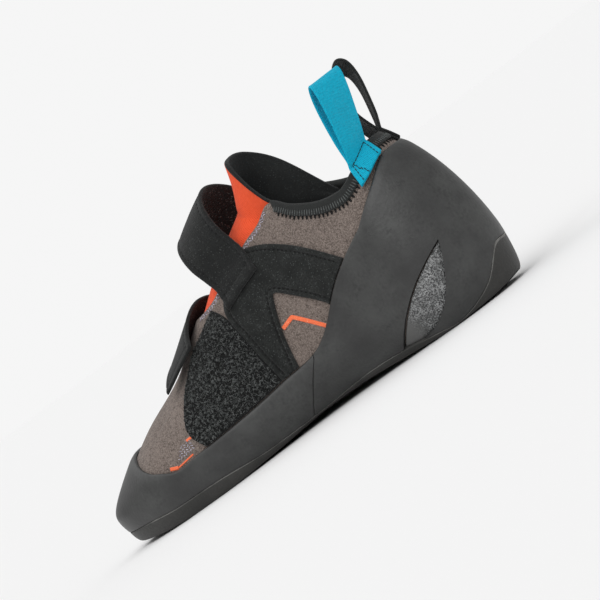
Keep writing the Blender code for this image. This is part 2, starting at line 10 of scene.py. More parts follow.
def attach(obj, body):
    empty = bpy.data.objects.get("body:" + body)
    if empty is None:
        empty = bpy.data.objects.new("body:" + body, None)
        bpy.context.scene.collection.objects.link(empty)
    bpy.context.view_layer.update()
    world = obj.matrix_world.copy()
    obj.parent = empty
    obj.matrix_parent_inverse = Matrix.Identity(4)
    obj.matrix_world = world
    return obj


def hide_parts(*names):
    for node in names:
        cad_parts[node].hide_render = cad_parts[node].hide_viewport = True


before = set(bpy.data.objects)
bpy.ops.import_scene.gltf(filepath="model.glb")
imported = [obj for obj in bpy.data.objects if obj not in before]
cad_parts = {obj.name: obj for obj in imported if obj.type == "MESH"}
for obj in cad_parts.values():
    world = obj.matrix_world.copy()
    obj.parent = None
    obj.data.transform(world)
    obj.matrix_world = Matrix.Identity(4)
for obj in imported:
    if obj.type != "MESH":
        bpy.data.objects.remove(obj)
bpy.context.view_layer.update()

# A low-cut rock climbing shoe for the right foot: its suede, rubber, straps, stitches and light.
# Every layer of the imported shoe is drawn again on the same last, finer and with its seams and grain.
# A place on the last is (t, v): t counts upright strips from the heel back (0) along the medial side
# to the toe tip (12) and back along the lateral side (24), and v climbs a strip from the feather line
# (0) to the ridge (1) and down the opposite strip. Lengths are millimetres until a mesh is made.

MM = 0.001
MIDDLE = np.array([127.84, 5.54, 0.0])  # the part's origin, seen from the last's
SIDES = ("medial", "lateral")
STATIONS = 24
HEEL_HUB = 3
TOE_HUB = 9
TOE = 12
WIDEST = 0.3
TOE_FALL = 0.42

# Thicknesses and seats, as in the part
SUEDE = 1.6
RUBBER = 2.0
PANEL = 1.2
LOOP_PILE = 1.5
STRAP_PILE = 1.2
STRAP = 1.6
TONGUE = 2.2
WEBBING = 1.1
INSOLE = 2.2
INLAY = 1.0
BINDING = 1.0
SEAT = 0.35
RAND_SEAT = 0.45
SEAM_T = 0.002
SEAM_V = 0.0008
LEAST_LAYER = 0.05
EDGE_ROUND = 0.8
OPEN_V = 0.999
OPEN_FADE_V = 0.03


def rows_of(kind, *rows):
    return [kind(*row) for row in rows]


# The last: one row for each strip, med for the medial side and lat for the lateral side
Station = namedtuple(
    "Station",
    "turn hub_x hub_y ridge reach_med reach_lat feather_med feather_lat "
    "wide_med wide_lat tuck_med tuck_lat peak",
)
LAST = rows_of(
    Station,
    (180, 50, 0, 102, 38.7, 38.7, 6, 6, 27, 27, 4, 4, 1.06),
    (150, 50, 0, 102, 35.9, 35.2, 6, 6, 27, 27, 5, 5, 1.04),
    (120, 50, 0, 102, 33.4, 32.4, 6, 6, 28, 28, 7, 7, 1.0),
    (90, 50, 0, 102, 32.5, 31.2, 6, 6, 29, 29, 9, 8, 1.0),
    (90, 75, 1, 106, 29.5, 31.5, 7, 6, 28, 27, 10, 7, 1.05),
    (90, 100, 2, 103, 28.5, 35.5, 8, 6, 26, 24, 11, 6, 1.1),
    (90, 125, 4, 91, 31.0, 40.2, 8, 6, 24, 21, 10, 5, 1.15),
    (90, 150, 7, 73.5, 35.0, 42.8, 7, 6, 22, 19, 7, 5, 1.15),
    (90, 175, 10, 56.0, 37.0, 43.3, 6, 6, 20, 18, 4, 4, 1.13),
    (90, 200, 12, 45.5, 35.3, 40.6, 6, 6, 18, 17, 3, 3, 1.10),
    (60, 200, 12, 45.5, 35.0, 39.2, 6, 6, 17, 17, 3, 3, 1.04),
    (30, 200, 12, 45.5, 39.9, 40.0, 6, 6, 17, 17, 3, 3, 1.0),
    (0, 200, 12, 45.5, 44.5, 44.5, 6, 6, 17, 17, 3, 3, 0.98),
)

# Lines drawn on the last: v, or the underside's height for GROUND, on each side at some strips
Line = namedtuple("Line", "t med lat")
SOLE_LINE = rows_of(
    Line,
    (0, 0.205, 0.205),
    (0.4, 0.20, 0.20),
    (1, 0.04, 0.07),
    (1.5, -0.02, 0.0),
    (2, -0.045, -0.01),
    (2.5, -0.045, -0.01),
    (3, -0.033, -0.01),
    (4, -0.005, 0.0),
    (4.7, -0.005, 0.02),
    (6, -0.04, 0.03),
    (7, -0.025, 0.04),
    (8, 0.04, 0.05),
    (9, 0.06, 0.06),
    (10, 0.10, 0.08),
    (12, 0.11, 0.11),
)
RAND_LINE = rows_of(
    Line,
    (0, 0.66, 0.66),
    (1, 0.655, 0.655),
    (2, 0.588, 0.588),
    (3, 0.503, 0.503),
    (4, 0.415, 0.415),
    (5, 0.32, 0.33),
    (6, 0.31, 0.32),
    (7, 0.31, 0.32),
    (8, 0.325, 0.34),
    (8.6, 0.345, 0.36),
    (9, 0.43, 0.45),
    (10, 0.68, 0.68),
    (11, 0.80, 0.80),
    (12, 0.84, 0.84),
)
TOP_EDGE = (
    (0, 0.735),
    (1, 0.73),
    (2, 0.678),
    (3, 0.634),
    (3.5, 0.64),
    (4, 0.685),
    (4.45, 0.76),
    (4.8, 0.725),
    (5.2, 0.72),
    (6, 0.72),
    (6.5, 0.745),
    (6.9, 0.83),
    (7.2, 0.95),
    (7.4, 1.0),
    (12, 1.0),
)
TOP_LINE = [Line(t, v, v) for t, v in TOP_EDGE]
GROUND = rows_of(
    Line,
    (0, 3.5, 3.5),
    (1, 1.2, 1.2),
    (2, 0.2, 0.2),
    (3, 0.0, 0.0),
    (3.7, 1.0, 0.0),
    (5, 3.2, 1.5),
    (6, 3.2, 1.5),
    (7, 1.2, 0.5),
    (8, 0.0, 0.0),
    (9, 0.0, 0.0),
    (10, 0.8, 0.8),
    (11, 2.2, 2.2),
    (12, 3.0, 3.0),
)

# Sole, rands, heel windows and collar binding
SPINE_X = (50, 62, 100, 125, 150, 165, 200)
SPINE_UNDER = (0.0, 0.0, 2.5, 2.5, 0.6, 0.0, 0.0)
SPINE_TOP = 5.5
SOLE_ROUND = 3.0
SOLE_UNDERCUT = 0.12
FLAT_SHARE = 0.5
INSOLE_INSET = 2.0
FLOOR_GAP = 0.45
SEAM_LOW = 6.1
SEAM_HIGH = 5.2
HEEL_UPRIGHT = 14 / 3
TOE_UPRIGHT = 20 / 3
RAND_RIMS = (0.5, 0.5, 0.5, 1.0)
RAND_THINNER = 0.75
RAND_THIN_EDGE = 5.0
RAND_WAVE = 0.05
WINDOW_TIP = np.array([24.5, 36.5])
WINDOW_TAIL = np.array([73.0, 4.0])
WINDOW_BULGE_UP = 2.2
WINDOW_BULGE_DOWN = 12.5
INLAY_LEAST = 0.25
INLAY_RIMS = (0.3, 0.3, 0.35, 0.35)
BINDING_END = 13 / 3
BINDING_OUTER_FLANGE = 5.5
BINDING_INNER_FLANGE = 4.0
BINDING_SHOULDER = -0.4
BINDING_CROWN = 1.65

# Panels between two edges that are given row by row
Bend = namedtuple("Bend", "outer_t outer_v inner_t inner_v")
WING = rows_of(
    Bend,
    (3.60, 0.456, 4.36, 0.391),
    (4.33, 0.570, 4.80, 0.455),
    (5.05, 0.670, 5.08, 0.500),
    (5.40, 0.705, 5.14, 0.508),
    (5.80, 0.705, 5.20, 0.508),
    (6.185, 0.625, 5.25, 0.492),
    (6.09, 0.490, 5.34, 0.455),
    (6.005, 0.390, 5.44, 0.405),
    (5.945, 0.326, 5.55, 0.330),
)
LOOP_PATCH = rows_of(
    Bend,
    (5.952, 0.317, 7.76, 0.327),
    (6.011, 0.390, 7.92, 0.420),
    (6.098, 0.490, 7.90, 0.500),
    (6.22, 0.600, 7.65, 0.620),
    (6.45, 0.700, 7.20, 0.700),
)
STRAP_PATCH = rows_of(
    Bend,
    (5.05, 0.530, 5.80, 0.530),
    (5.05, 0.600, 5.80, 0.600),
    (5.10, 0.670, 5.75, 0.670),
)
RAND_GAP = 0.003
WING_SEAM_IN = 2.6
WING_WAVE = 0.12
WING_GROOVE = 0.42
WING_BANK = 0.16
WING_BANK_OFF = 1.2
WING_STITCH_SUNK = 0.25

# The straps: v runs over the ridge, lift is the strap's underside, t its middle
Crossing = namedtuple("Crossing", "v lift t")
STRAP_HALF = 0.44
STRAP_SEAM_IN = 2.7
HEM = 5.6
HEM_ROLL = 2.4
STRAP_EDGE_IN = 1.2
STRAP_END_IN = 3.0
STRAP_ROUND = 0.7
UPPER_STRAP = rows_of(
    Crossing,
    (0.60, 1.95, 5.62),
    (0.69, 2.1, 5.67),
    (0.745, 5.0, 5.72),
    (0.81, 11.0, 5.74),
    (0.90, 15.5, 5.72),
    (1.00, 17.0, 5.66),
    (1.10, 14.5, 5.60),
    (1.20, 9.5, 5.53),
    (1.29, 5.2, 5.46),
    (1.37, 3.6, 5.43),
    (1.47, 3.5, 5.43),
)
LOWER_STRAP = rows_of(
    Crossing,
    (0.66, 5.6, 7.44),
    (0.77, 4.5, 7.42),
    (0.88, 3.1, 7.36),
    (1.00, 1.9, 7.30),
    (1.12, 1.0, 7.24),
    (1.30, 0.6, 7.18),
    (1.48, 0.45, 7.12),
    (1.64, 0.45, 7.10),
)

# The tongue: arches inside the throat, then rings that stand up in front of the ankle
Arch = namedtuple("Arch", "t_mid t_side v_side lift_mid lift_side")
Place = namedtuple("Place", "x y z")
TURNED_ROWS = 14
TURNED_MIDDLE = 0.4
TURNED_SIDE = 2.8
TURNED_FROM = 0.15
TURNED_OVER = 0.35
DARK_SIDE = 0.93
TONGUE_ARCHES = rows_of(
    Arch,
    (7.10, 7.05, 0.74, -4.8, -4.8),
    (6.40, 6.35, 0.64, -4.6, -4.7),
    (5.70, 5.60, 0.61, -4.4, -4.7),
    (5.25, 5.05, 0.60, -3.5, -5.2),
)
TONGUE_RINGS = [
    rows_of(
        Place,
        (66, 14.5, 74.0),
        (86, 10.7, 86.0),
        (99.8, 9.0, 97.3),
        (101.8, 1.5, 102.3),
        (99.8, -6.0, 97.3),
        (86, -7.7, 86.0),
        (66, -12.5, 74.0),
    ),
    rows_of(
        Place,
        (66, 14.2, 76.5),
        (85, 10.5, 91.3),
        (95, 9.9, 106.0),
        (97, 1.5, 111.5),
        (94.5, -7.0, 107.0),
        (82.5, -9.0, 96.5),
        (66, -12.3, 77.0),
    ),
    rows_of(
        Place,
        (66, 14.0, 79.0),
        (86, 10.6, 96.0),
        (91, 11.0, 117.0),
        (93, 1.5, 121.5),
        (90, -8.8, 119.5),
        (80, -13.5, 107.0),
        (66, -12.3, 80.5),
    ),
]

# The pull loops: a folded webbing, up is along the collar, out is its middle's lift
Fold = namedtuple("Fold", "up out")
Lean = namedtuple("Lean", "side heelwards turn_y turn_z")
PULL_T_FRONT = 2.22
PULL_T_BACK = 0.96
PULL_STRAIGHT = 0.8
PULL_TURN = 8.0
PULL_LEANS = rows_of(Lean, ("medial", 10.0, 4.4, 3.0), ("lateral", 5.5, 0.0, 0.0))
PULL_LOOP = rows_of(
    Fold,
    (-8.6, 2.25),
    (-4.0, 2.25),
    (1.0, 2.25),
    (5.0, 0.2),
    (14.0, -4.2),
    (26.0, -6.2),
    (34.5, -4.6),
    (38.5, 0.0),
    (35.5, 4.8),
    (27.0, 6.6),
    (14.0, 5.6),
    (5.0, 4.2),
    (0.0, 3.65),
    (-4.0, 3.65),
    (-8.6, 3.65),
)

# Soft folds in the suede, from (t0, v0) to (t1, v1)
Crease = namedtuple("Crease", "t0 v0 t1 v1 width depth")
STRIP_WIDTH = 25.0
STRIP_HEIGHT = 92.0
CREASE_SWELL = 0.6
CREASE_BESIDE = 1.8
CREASE_REACH = 0.38
CREASE_FREE_V = 0.1
CREASES = rows_of(
    Crease,
    (8.9, 0.62, 8.2, 0.72, 2.2, 0.35),
    (8.6, 0.74, 7.9, 0.88, 2.6, 0.40),
    (15.2, 0.60, 15.9, 0.72, 2.4, 0.35),
    (15.5, 0.75, 16.2, 0.88, 2.6, 0.40),
    (3.6, 0.56, 4.3, 0.66, 2.0, 0.30),
    (20.4, 0.56, 19.7, 0.66, 2.0, 0.30),
    (4.9, 0.36, 5.3, 0.46, 2.0, 0.25),
)

# Stitches: how far apart they lie and how large one is
Stitch = namedtuple("Stitch", "pitch length width height")
WING_STITCH = Stitch(2.2, 1.4, 0.95, 0.55)
STRAP_STITCH = Stitch(2.4, 1.6, 0.6, 0.4)
COLLAR_RIB = Stitch(1.3, 3.0, 0.62, 0.6)
COLLAR_TOOTH = Stitch(2.2, 2.6, 1.15, 0.6)
THROAT_STITCH = Stitch(1.7, 1.9, 0.42, 0.35)
TOE_STITCH = Stitch(1.5, 1.6, 0.36, 0.3)
BOX_STITCH = Stitch(1.8, 1.75, 0.45, 0.4)
ZIGZAG = 42.0
THROAT_SPAN = (4.55, 6.85)
THROAT_ROWS = (1.6, 2.6)
TOE_ROWS = 4
TOE_ROW_V = 0.37
TOE_ROW_STEP = 0.016
TOE_ROW_CLIMB = 0.01
TOE_ROW_START = 7.97
TOE_ROW_END = 8.40
TOE_ROW_SHORTER = 0.05

# Orange lines on the suede, through places (t, v)
Mark = namedtuple("Mark", "label places width")
MARK_HEIGHT = 0.28
MARKS = rows_of(
    Mark,
    ("chevron", [(5.39, 0.42), (5.13, 0.425), (4.62, 0.335)], 2.0),
    ("toe_bar", [(8.65, 0.375), (8.48, 0.345)], 1.8),
    ("toe_line", [(8.47, 0.345), (8.07, 0.345)], 0.8),
    ("toe_mark", [(8.05, 0.43), (7.88, 0.42)], 1.2),
)


# Smooth lines through short tables


def mix(a, b, share):
    return a + (b - a) * share


def bell(x, width):
    """A soft swell of height 1 round x = 0."""
    return np.exp(-((x / width) ** 2))


def hermite(xs, ys, level_ends=False):
    """Cubic through (xs, ys) with slopes from the neighbours; ys may be rows of numbers."""
    xs = np.array(xs, float)
    ys = np.array(ys, float)
    slopes = np.gradient(ys, xs, axis=0)
    if level_ends:
        slopes[[0, -1]] = 0.0

    def value(x):
        x = np.clip(np.asarray(x, float), xs[0], xs[-1])
        i = np.clip(np.searchsorted(xs, x, side="right") - 1, 0, len(xs) - 2)
        h = xs[i + 1] - xs[i]
        b = (x - xs[i]) / h
        if ys.ndim > 1:
            b = b[..., None]
            h = h[..., None]
        a = 1 - b
        ends = ys[i] * a * a * (1 + 2 * b) + ys[i + 1] * b * b * (1 + 2 * a)
        return ends + h * a * b * (slopes[i] * a - slopes[i + 1] * b)

    return value


def even_table(rows):
    return hermite(np.linspace(0, 1, len(rows)), rows)


def round_curve(medial, lateral):
    """Periodic cubic in t through one value for each strip round the shoe."""
    y = np.array(list(medial) + list(lateral)[-2:0:-1], float)
    unit_rows = np.eye(STATIONS)
    system = 4 * unit_rows + np.roll(unit_rows, 1, 0) + np.roll(unit_rows, -1, 0)
    bend = np.linalg.solve(system, 6 * (np.roll(y, -1) - 2 * y + np.roll(y, 1)))

    def value(t):
        t = np.mod(t, STATIONS)
        i = np.floor(t).astype(int) % STATIONS
        j = (i + 1) % STATIONS
        b = t - np.floor(t)
        a = 1 - b
        return a * y[i] + b * y[j] + ((a**3 - a) * bend[i] + (b**3 - b) * bend[j]) / 6

    return value


def column(name):
    return [getattr(row, name) for row in LAST]


def paired_curve(name):
    return round_curve(column(name + "_med"), column(name + "_lat"))


hub_ts = range(HEEL_HUB, TOE_HUB + 1)
hub_y_at = hermite(hub_ts, [LAST[t].hub_y for t in hub_ts])
ridge_at = hermite(hub_ts, [LAST[t].ridge for t in hub_ts])
peak = round_curve(column("peak"), column("peak"))
reach = paired_curve("reach")
feather = paired_curve("feather")
wide = paired_curve("wide")
tuck = paired_curve("tuck")


def fold(t):
    """The strip's number counted from the heel back on its own side."""
    t = np.mod(t, STATIONS)
    return np.minimum(t, STATIONS - t)


def on_side(t, side):
    """A medial strip's number, or that of its mirror image on the lateral side."""
    return t if side == "medial" else STATIONS - t


def ring_ts(count):
    return np.arange(count) * STATIONS / count


def turn(t):
    angle = np.interp(fold(t), range(len(LAST)), column("turn"))
    return np.radians(np.where(np.mod(t, STATIONS) <= TOE, angle, -angle))


def hub(t):
    t = fold(t)
    return np.stack([np.interp(t, range(len(LAST)), column("hub_x")), hub_y_at(t)], -1)


def wall(t, v):
    """Points on the last."""
    t, v = np.broadcast_arrays(np.asarray(t, float), np.asarray(v, float))
    over = v > 1
    t = np.where(over, STATIONS - t, t)
    v = np.where(over, 2 - v, v)
    climb = v / WIDEST
    angle = turn(t)
    low = reach(t) - tuck(t) * (1 - climb) ** 2
    low_z = feather(t) + (wide(t) - feather(t)) * climb
    rise = (v - WIDEST) / (1 - WIDEST) * np.pi / 2
    high = reach(t) * np.maximum(np.cos(rise), 0.0) ** peak(t)
    high_z = wide(t) + (ridge_at(fold(t)) - wide(t)) * np.sin(rise)
    high_z = high_z - TOE_FALL * np.maximum(np.cos(angle), 0.0) * high * np.sin(rise)
    radius = np.where(climb < 1, low, high)
    z = np.where(climb < 1, low_z, high_z)
    middle = hub(t)
    x = middle[..., 0] + np.cos(angle) * radius
    y = middle[..., 1] + np.sin(angle) * radius
    return np.stack([x, y, z], -1)


def unit(vectors):
    return vectors / np.maximum(np.linalg.norm(vectors, axis=-1, keepdims=True), 1e-9)


def raw_outward(t, v, step=0.01):
    climb = wall(t, v + step) - wall(t, v - step)
    along = wall(t + step, v) - wall(t - step, v)
    return unit(np.cross(climb, along))


POLE_V = 0.985
pole_ts = np.linspace(9.2, 14.8, 25)
pole_normal = unit(raw_outward(pole_ts, np.full(pole_ts.shape, POLE_V)).mean(0))


def outward(t, v):
    """Unit normals of the last; the toe's strips meet in one normal at their pole."""
    t, v = np.broadcast_arrays(np.asarray(t, float), np.asarray(v, float))
    toe = fold(t) >= TOE_HUB
    normal = raw_outward(t, np.where(toe, np.minimum(v, POLE_V), v))
    at_pole = (toe & (v > 0.999))[..., None]
    return np.where(at_pole, pole_normal, normal)


def skin(t, v, lift):
    return wall(t, v) + np.asarray(lift, float)[..., None] * outward(t, v)


def climb_length(t, v, step=0.01):
    """Millimetres of wall for one unit of v."""
    return np.linalg.norm(wall(t, v + step) - wall(t, v - step), axis=-1) / (2 * step)


def two_sided(rows):
    """A line in t that reads the medial column up to the toe and the lateral column after it."""
    ts = [row.t for row in rows]
    medial = hermite(ts, [row.med for row in rows], level_ends=True)
    lateral = hermite(ts, [row.lat for row in rows], level_ends=True)

    def value(t):
        t = np.mod(t, STATIONS)
        return np.where(t <= TOE, medial(t), lateral(STATIONS - t))

    return value


sole_line = two_sided(SOLE_LINE)
rand_line = two_sided(RAND_LINE)
throat_line = two_sided(TOP_LINE)


def top_line(t):
    """The upper's edge: the collar and the throat, then the ridge where its two sides meet."""
    return np.minimum(throat_line(t), 1.0)


def ground(t):
    ts = [row.t for row in GROUND]
    medial = np.interp(fold(t), ts, [row.med for row in GROUND])
    lateral = np.interp(fold(t), ts, [row.lat for row in GROUND])
    return np.where(np.mod(t, STATIONS) <= TOE, medial, lateral)


# Grids of points and closed layers


def shares(count, rim):
    """Even steps from 0 to 1, with closer ones inside a rim at both ends."""
    near = rim * np.array([0.0, 0.08, 0.25, 0.55])
    return np.concatenate([near, np.linspace(rim, 1 - rim, count), 1 - near[::-1]])


def run_length(points, axis):
    """Millimetres from the first point of a grid line, and the line's whole length."""
    steps = np.linalg.norm(np.diff(points, axis=axis), axis=-1)
    start = np.zeros(points.shape[:2])
    if axis == 0:
        start[1:] = np.cumsum(steps, 0)
        return start, start[-1:]
    start[:, 1:] = np.cumsum(steps, 1)
    return start, start[:, -1:]


def rounding(distance, radius):
    """How far a rounded rim drops below the face at a distance from the edge."""
    inset = np.clip(radius - distance, 0, radius)
    return radius - np.sqrt(radius**2 - inset**2)


def rim_drop(points, rims):
    """The drop of rounded rims; rims gives a radius for the first and last line of each axis."""
    along, along_total = run_length(points, 0)
    across, across_total = run_length(points, 1)
    distances = (along, along_total - along, across, across_total - across)
    drops = [rounding(distance, radius) for distance, radius in zip(distances, rims)]
    return np.minimum(sum(drops), max(rims))


def grid_faces(m, n, ring=False, tube=False):
    """Quads over m lines of n points; a ring joins the last line to the first, a tube the columns."""
    index = np.arange(m * n).reshape(m, n)
    if ring:
        index = np.concatenate([index, index[:1]])
    if tube:
        index = np.concatenate([index, index[:, :1]], 1)
    corners = [index[:-1, :-1], index[:-1, 1:], index[1:, 1:], index[1:, :-1]]
    return np.stack(corners, -1).reshape(-1, 4)


def plain_mesh(name, points, faces=()):
    mesh = bpy.data.meshes.new(name)
    mesh.from_pydata(((points - MIDDLE) * MM).tolist(), [], [list(map(int, face)) for face in faces])
    return mesh


def facing_out(mesh):
    made = bmesh.new()
    made.from_mesh(mesh)
    bmesh.ops.recalc_face_normals(made, faces=made.faces)
    made.to_mesh(mesh)
    made.free()


def smooth_to(mesh, sharp):
    mesh.shade_smooth()
    mesh.set_sharp_from_angle(angle=math.radians(sharp))


MERGE_WITHIN = 0.008
SLIVER_WITHIN = 0.004


def mesh_from(name, points, faces, marks=None, uv=None, sharp=48):
    """A clean mesh; marks gives each face's material, uv each point's place in the cloth."""
    mesh = plain_mesh(name, points, faces)
    if marks is not None:
        mesh.polygons.foreach_set("material_index", np.asarray(marks, np.int32))
    if uv is not None:
        corners = np.empty(len(mesh.loops), np.int32)
        mesh.loops.foreach_get("vertex_index", corners)
        mesh.uv_layers.new(name="cut").data.foreach_set("uv", uv[corners].ravel())
    made = bmesh.new()
    made.from_mesh(mesh)
    bmesh.ops.remove_doubles(made, verts=made.verts, dist=MERGE_WITHIN * MM)
    bmesh.ops.dissolve_degenerate(made, edges=made.edges, dist=SLIVER_WITHIN * MM)
    made.to_mesh(mesh)
    made.free()
    smooth_to(mesh, sharp)
    return mesh


def cloth_uv(grid):
    """Metres along both ways of a grid, for each of its points."""
    runs = [run_length(grid, axis)[0] for axis in (0, 1)]
    return np.stack(runs, -1).reshape(-1, 2) * MM


def solid(name, outer, inner, closed=False, face_look=0, inner_look=0, rim_look=0, top=slice(None)):
    """A closed mesh between an outer and an inner grid; top keeps some quads of the last rim."""
    m, n = outer.shape[:2]
    index = np.arange(m * n).reshape(m, n)
    if closed:
        index = np.concatenate([index, index[:1]])
    flip = [0, 3, 2, 1]

    def rim(edge):
        low = edge + m * n
        return np.stack([edge[:-1], edge[1:], low[1:], low[:-1]], -1)

    face = grid_faces(m, n, ring=closed)
    back = face[:, flip] + m * n
    rims = [rim(index[:, 0]), rim(index[:, -1])[top][:, flip]]
    if not closed:
        rims += [rim(index[0])[:, flip], rim(index[-1])]
    rims = np.concatenate(rims)
    faces = np.concatenate([face, back, rims])
    marks = np.repeat([0, inner_look, rim_look], [len(face), len(back), len(rims)])
    marks[: len(face)] = np.ravel(face_look)
    points = np.concatenate([outer.reshape(-1, 3), inner.reshape(-1, 3)])
    corners = points[faces]
    spread = np.cross(corners[:, 2] - corners[:, 0], corners[:, 3] - corners[:, 1])
    if (corners.mean(1) * spread).sum() < 0:
        faces = faces[:, ::-1]
    return mesh_from(name, points, faces, marks, np.tile(cloth_uv(outer), (2, 1)))


def placed(name, data):
    """A new object in the scene."""
    made = bpy.data.objects.new(name, data)
    bpy.context.scene.collection.objects.link(made)
    return made


def piece(name, mesh, looks, node=None):
    """Puts a mesh in the scene as a piece of the shoe."""
    made = placed(name, mesh)
    for look in looks:
        mesh.materials.append(look)
    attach(made, "root")
    if node:
        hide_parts(node)
    return made


def lay(name, t, v, low, thick, rims, relief=0.0):
    """A layer on the last: a grid of places, its seat, its thickness and what its face adds."""
    base = wall(t, v)
    up = outward(t, v)
    top = low + thick - rim_drop(base, rims) + relief
    outer = base + np.maximum(top, low + LEAST_LAYER)[..., None] * up
    return solid(name, outer, base + low * up)


def line_inside(t, v, distance, from_start):
    """The places at a distance inside the first or the last edge of a grid."""
    start, total = run_length(wall(t, v), 1)
    measure = start if from_start else total - start
    found = []
    for run, row_t, row_v in zip(measure, t, v):
        order = np.argsort(run)
        found.append([np.interp(distance, run[order], row[order]) for row in (row_t, row_v)])
    return np.array(found).T


def resample(points, normals, pitch):
    """Places every pitch along a line, with the line's way and its normal at each."""
    steps = np.linalg.norm(np.diff(points, axis=0), axis=1)
    run = np.concatenate([[0.0], np.cumsum(steps)])
    count = max(int(run[-1] / pitch), 2)
    at = (np.arange(count) + 0.5) * run[-1] / count

    def pick(rows):
        return np.stack([np.interp(at, run, rows[:, k]) for k in range(3)], -1)

    way = unit(pick(np.gradient(points, run, axis=0)))
    return pick(points), way, unit(pick(normals))


def strip_mesh(name, t, v, width, high):
    """A thin raised strip along a line of places."""
    base = wall(t, v)
    up = outward(t, v)[:, None]
    aside = unit(np.cross(up[:, 0], unit(np.gradient(base, axis=0))))
    offsets = np.linspace(-1, 1, 9)
    crown = high * np.sqrt(np.maximum(1 - offsets**4, 0.0)) + 0.02
    inner = base[:, None] + aside[:, None] * offsets[None, :, None] * width / 2
    return solid(name, inner + up * crown[None, :, None], inner)


# Geometry node runs


def wire(tree, *links):
    """Links nodes; each link is a node and its output, then a node and its input."""
    for source, output, target, entry in links:
        tree.links.new(source.outputs[output], target.inputs[entry])


def thread_tree(name, inputs):
    """A geometry tree with its named inputs, and the thread that it is made of."""
    tree = bpy.data.node_groups.new(name, "GeometryNodeTree")
    for label, kind in (("Geometry", "Geometry"), *inputs, ("Thread", "Material")):
        tree.interface.new_socket(label, in_out="INPUT", socket_type="NodeSocket" + kind)
    tree.interface.new_socket("Geometry", in_out="OUTPUT", socket_type="NodeSocketGeometry")
    return tree, tree.nodes.new, tree.nodes.new("NodeGroupInput")


def end_tree(tree, start, copies):
    """Ends a tree: the copies as real mesh, smooth and in the thread's material."""
    real = tree.nodes.new("GeometryNodeRealizeInstances")
    smooth = tree.nodes.new("GeometryNodeSetShadeSmooth")
    coloured = tree.nodes.new("GeometryNodeSetMaterial")
    end = tree.nodes.new("NodeGroupOutput")
    wire(
        tree,
        (copies, "Instances", real, "Geometry"),
        (real, "Geometry", smooth, "Geometry"),
        (smooth, "Geometry", coloured, "Geometry"),
        (start, "Thread", coloured, "Material"),
        (coloured, "Geometry", end, "Geometry"),
    )
    return tree


def stitch_tree():
    """Beads of thread on points that carry their facing and along vectors."""
    sizes = ("Length", "Width", "Height")
    tree, add, start = thread_tree("stitch_run", [(label, "Float") for label in sizes])
    points = add("GeometryNodeMeshToPoints")
    bead = add("GeometryNodeMeshUVSphere")
    bead.inputs["Segments"].default_value = 8
    bead.inputs["Rings"].default_value = 5
    bead.inputs["Radius"].default_value = 0.5
    size = add("ShaderNodeCombineXYZ")
    scaled = add("GeometryNodeTransform")
    turned = add("FunctionNodeAxesToRotation")
    turned.primary_axis = "Z"
    turned.secondary_axis = "X"
    copies = add("GeometryNodeInstanceOnPoints")
    for label, entry in (("facing", "Primary Axis"), ("along", "Secondary Axis")):
        read = add("GeometryNodeInputNamedAttribute")
        read.data_type = "FLOAT_VECTOR"
        read.inputs["Name"].default_value = label
        wire(tree, (read, "Attribute", turned, entry))
    wire(
        tree,
        (start, "Geometry", points, "Mesh"),
        (points, "Points", copies, "Points"),
        *((start, label, size, entry) for label, entry in zip(sizes, "XYZ")),
        (bead, "Mesh", scaled, "Geometry"),
        (size, "Vector", scaled, "Scale"),
        (scaled, "Geometry", copies, "Instance"),
        (turned, "Rotation", copies, "Rotation"),
    )
    return end_tree(tree, start, copies)


def pile_tree():
    """Small open loops of yarn, scattered on a face and turned every way."""
    inputs = [("Density", "Float"), ("Radius", "Float"), ("Yarn", "Float"), ("Seed", "Int")]
    tree, add, start = thread_tree("pile_loops", inputs)
    scatter = add("GeometryNodeDistributePointsOnFaces")
    arc = add("GeometryNodeCurveArc")
    arc.inputs["Resolution"].default_value = 6
    arc.inputs["Sweep Angle"].default_value = math.radians(235)
    section = add("GeometryNodeCurvePrimitiveCircle")
    section.inputs["Resolution"].default_value = 4
    yarn = add("GeometryNodeCurveToMesh")
    yarn.inputs["Fill Caps"].default_value = True
    copies = add("GeometryNodeInstanceOnPoints")
    spin = add("FunctionNodeRandomValue")
    spin.data_type = "FLOAT_VECTOR"
    spin.inputs[0].default_value = [-math.pi] * 3
    spin.inputs[1].default_value = [math.pi] * 3
    wire(
        tree,
        (start, "Geometry", scatter, "Mesh"),
        (start, "Density", scatter, "Density"),
        (start, "Seed", scatter, "Seed"),
        (start, "Seed", spin, "Seed"),
        (start, "Radius", arc, "Radius"),
        (start, "Yarn", section, "Radius"),
        (arc, "Curve", yarn, "Curve"),
        (section, "Curve", yarn, "Profile Curve"),
        (scatter, "Points", copies, "Points"),
        (yarn, "Mesh", copies, "Instance"),
        (spin, 0, copies, "Rotation"),
    )
    return end_tree(tree, start, copies)


STITCHES = stitch_tree()
PILE = pile_tree()


def realised(made):
    """Turns a piece's live modifiers into a plain mesh."""
    bpy.context.view_layer.update()
    graph = bpy.context.evaluated_depsgraph_get()
    mesh = bpy.data.meshes.new_from_object(made.evaluated_get(graph))
    made.modifiers.clear()
    made.data = mesh


def run_nodes(name, mesh, tree, values):
    """A piece made by a node tree whose named inputs are set before it is evaluated."""
    made = placed(name, mesh)
    nodes = made.modifiers.new("run", "NODES")
    nodes.node_group = tree
    for socket in tree.interface.items_tree:
        if socket.in_out == "INPUT" and socket.name in values:
            nodes[socket.identifier] = values[socket.name]
    realised(made)
    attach(made, "root")
    return made


